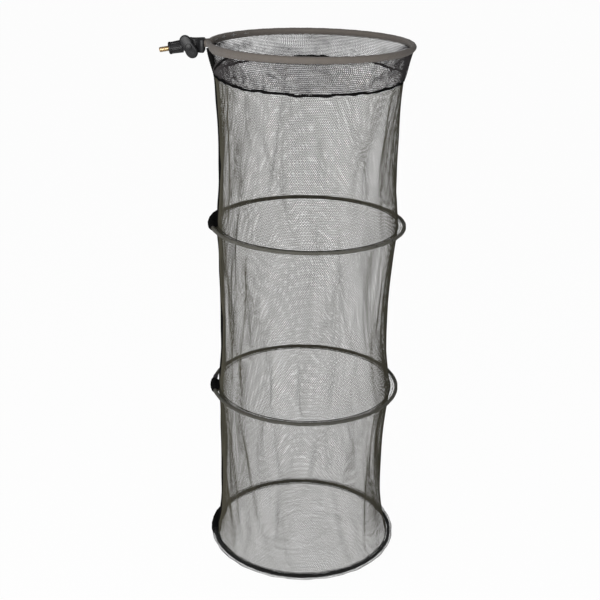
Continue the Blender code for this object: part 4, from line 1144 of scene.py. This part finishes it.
class KEEPNET_OT_stud(NetOperator):
    """Cut the thread of the brass stud"""

    bl_idname = "keep_net.stud"
    bl_label = "Brass stud"

    def execute(self, context):
        sizes = context.scene.keep_net_head
        low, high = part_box("brass_stud")
        away = Vector((-math.cos(STUD_TILT), 0.0, -math.sin(STUD_TILT)))
        radius = 0.5 * (high.y - low.y)
        length = ((high.x - low.x) - 2.0 * radius * math.sin(STUD_TILT)) / math.cos(STUD_TILT)
        middle = 0.5 * (low + high)
        pitch, depth = sizes.thread_pitch, sizes.thread_depth
        bm = bmesh.new()
        profile = ((0.0, radius - depth), (0.12, radius - depth), (0.44, radius), (0.56, radius),
                   (0.88, radius - depth), (1.0, radius - depth))
        points = [bm.verts.new((reach, 0.0, share * pitch)) for share, reach in profile]
        edges = [bm.edges.new(pair) for pair in zip(points, points[1:])]
        turns = math.ceil(length / pitch) + 2
        bmesh.ops.spin(bm, geom=points + edges, cent=(0.0, 0.0, 0.0), axis=(0.0, 0.0, 1.0),
                       dvec=(0.0, 0.0, pitch / THREAD_STEPS), angle=TURN * turns, steps=THREAD_STEPS * turns)
        bmesh.ops.remove_doubles(bm, verts=bm.verts, dist=MERGE)
        for height, facing in ((pitch, -1.0), (pitch + length, 1.0)):
            cut = bmesh.ops.bisect_plane(bm, geom=bm.verts[:] + bm.edges[:] + bm.faces[:],
                                         plane_co=(0.0, 0.0, height), plane_no=(0.0, 0.0, facing),
                                         clear_outer=True)["geom_cut"]
            rim = [item for item in cut if isinstance(item, bmesh.types.BMEdge)]
            bmesh.ops.holes_fill(bm, edges=rim, sides=0)
        for vertex in bm.verts:
            tip = max(0.0, vertex.co.z - (pitch + length - depth * 1.5))
            vertex.co.xy *= 1.0 - tip / radius * 0.7
        bmesh.ops.recalc_face_normals(bm, faces=bm.faces)
        bmesh.ops.translate(bm, verts=bm.verts, vec=(0.0, 0.0, -pitch - 0.5 * length))
        turn = Vector((0.0, 0.0, 1.0)).rotation_difference(away).to_matrix().to_4x4()
        bmesh.ops.transform(bm, matrix=Matrix.Translation(middle) @ turn, verts=bm.verts)
        brass = metal_finish("brass", sizes.brass, 0.32)
        link_piece(mesh_from(bm, "threaded_stud"), brass, "stud", "brass_stud", THREAD_CREASE)
        return {'FINISHED'}


class KEEPNET_OT_hardware(NetOperator):
    """Finish the tube, the hoops and the fasteners that stay as they are"""

    bl_idname = "keep_net.hardware"
    bl_label = "Hardware"

    def execute(self, context):
        sizes = context.scene.keep_net_head
        zinc = metal_finish("zinc_steel", (0.62, 0.62, 0.60), 0.38)
        finishes = {
            "top_ring_tube": metal_finish("alloy_tube", (0.72, 0.72, 0.73), 0.35),
            "ring_end_screw_near": zinc,
            "ring_end_screw_far": zinc,
            "hinge_bolt": zinc,
            "knob_washer": zinc,
            "friction_washer_near": fibre_finish(),
            "friction_washer_far": fibre_finish(),
            "knob_insert": metal_finish("insert_brass", sizes.brass, 0.35),
        }
        rod = nylon_finish("coated_rod", (0.014, 0.014, 0.015), 0.40)
        ferrule = nylon_finish("ferrule_plastic", (0.022, 0.020, 0.024), 0.45)
        for name in RING_NAMES:
            finishes[f"{name}_hoop"] = rod
            finishes[f"{name}_ferrule"] = ferrule
        for name, finish in finishes.items():
            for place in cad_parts[name].material_slots:
                place.material = finish.material
        return {'FINISHED'}


class KEEPNET_OT_stage(NetOperator):
    """Set the camera, the lamps, the floor and the backdrop"""

    bl_idname = "keep_net.stage"
    bl_label = "Stage"

    def execute(self, context):
        studio = context.scene.keep_net_studio
        scene = context.scene
        scene.view_settings.view_transform = 'Standard'
        self.add_camera(scene, studio)
        for lamp in LAMPS:
            self.add_lamp(*lamp)
        self.light_world(scene)
        self.add_floor(studio)
        return {'FINISHED'}

    def add_camera(self, scene, studio):
        camera = bpy.data.objects.new("camera", bpy.data.cameras.new("camera"))
        scene.collection.objects.link(camera)
        camera.data.lens = studio.lens
        camera.data.sensor_width = 36.0
        camera.data.sensor_fit = 'HORIZONTAL'
        camera.data.clip_start = 0.05
        camera.data.clip_end = 50.0
        spot = Vector((RING_X - studio.aside, -studio.distance, RING_HEIGHTS[0] + studio.height))
        down = Matrix.Rotation(0.5 * math.pi - studio.pitch, 4, 'X')
        lean = Matrix.Rotation(studio.roll, 4, 'Z')
        camera.matrix_world = Matrix.Translation(spot) @ down @ lean
        scene.camera = camera

    def add_lamp(self, name, spot, size, power):
        """A square soft box that faces the middle of the net."""
        lamp = bpy.data.objects.new(name, bpy.data.lights.new(name, 'AREA'))
        bpy.context.scene.collection.objects.link(lamp)
        lamp.data.shape = 'SQUARE'
        lamp.data.size = size
        lamp.data.energy = power
        aim = Vector((RING_X, 0.0, 0.5 * (RING_HEIGHTS[0] + RING_HEIGHTS[-1])))
        lamp.location = Vector(spot)
        lamp.rotation_euler = (aim - Vector(spot)).to_track_quat('-Z', 'Y').to_euler()

    def light_world(self, scene):
        """White to the camera, a soft grey light for every other ray."""
        world = bpy.data.worlds.new("studio_world")
        world.use_nodes = True
        scene.world = world
        tree = world.node_tree
        white = tree.nodes["Background"]
        white.inputs["Color"].default_value = (1.0, 1.0, 1.0, 1.0)
        white.inputs["Strength"].default_value = 1.0
        soft = tree.nodes.new('ShaderNodeBackground')
        soft.inputs["Color"].default_value = (1.0, 1.0, 1.0, 1.0)
        soft.inputs["Strength"].default_value = SOFT_LIGHT
        path = tree.nodes.new('ShaderNodeLightPath')
        choose = tree.nodes.new('ShaderNodeMixShader')
        tree.links.new(path.outputs["Is Camera Ray"], choose.inputs[0])
        tree.links.new(soft.outputs[0], choose.inputs[1])
        tree.links.new(white.outputs[0], choose.inputs[2])
        tree.links.new(choose.outputs[0], tree.nodes["World Output"].inputs["Surface"])

    def add_floor(self, studio):
        """A wide pale floor under the net."""
        bm = bmesh.new()
        bmesh.ops.create_grid(bm, x_segments=1, y_segments=1, size=FLOOR_SIZE)
        spot = (RING_X, 0.0, RING_HEIGHTS[-1] - studio.floor_drop)
        bmesh.ops.translate(bm, verts=bm.verts, vec=spot)
        mesh = mesh_from(bm, "floor")
        floor = bpy.data.objects.new("floor", mesh)
        bpy.context.scene.collection.objects.link(floor)
        finish = Finish("floor", roughness=0.9, specular=0.2)
        finish.set("Base Color", (*studio.floor_tone, 1.0))
        glow = finish.node('ShaderNodeEmission', {}, {"Color": (1.0, 1.0, 1.0, 1.0), "Strength": 1.0})
        seen = finish.node('ShaderNodeLightPath', output="Is Camera Ray") * FLOOR_WHITE
        plain = Flow(finish, finish.shader.outputs[0])
        choose = finish.node('ShaderNodeMixShader', {}, {0: seen, 1: plain, 2: glow})
        finish.feed(finish.tree.nodes["Material Output"].inputs["Surface"], choose)
        mesh.materials.append(finish.material)


OPERATORS = (
    KEEPNET_OT_bays, KEEPNET_OT_base_panel, KEEPNET_OT_hem, KEEPNET_OT_side_seams,
    KEEPNET_OT_top_sleeve, KEEPNET_OT_casings, KEEPNET_OT_head, KEEPNET_OT_stud,
    KEEPNET_OT_hardware, KEEPNET_OT_stage,
)


class KEEPNET_PT_panel(bpy.types.Panel):
    """Lists the net's sizes and operators"""

    bl_idname = "KEEPNET_PT_panel"
    bl_label = "Keep Net"
    bl_space_type = 'VIEW_3D'
    bl_region_type = 'UI'
    bl_category = "Keep Net"

    def draw(self, context):
        for name, group in GROUPS.items():
            box = self.layout.box()
            for setting in group.__annotations__:
                box.prop(getattr(context.scene, name), setting)
        for operator in OPERATORS:
            self.layout.operator(operator.bl_idname)


def register():
    for group in GROUPS.values():
        bpy.utils.register_class(group)
    for name, group in GROUPS.items():
        setattr(bpy.types.Scene, name, PointerProperty(type=group))
    for kind in (*OPERATORS, KEEPNET_PT_panel):
        bpy.utils.register_class(kind)


def unregister():
    for kind in (KEEPNET_PT_panel, *reversed(OPERATORS)):
        bpy.utils.unregister_class(kind)
    for name in GROUPS:
        delattr(bpy.types.Scene, name)
    for group in GROUPS.values():
        bpy.utils.unregister_class(group)


def main():
    register()
    for operator in OPERATORS:
        family, name = operator.bl_idname.split(".")
        getattr(getattr(bpy.ops, family), name)()


if __name__ == "__main__":
    main()
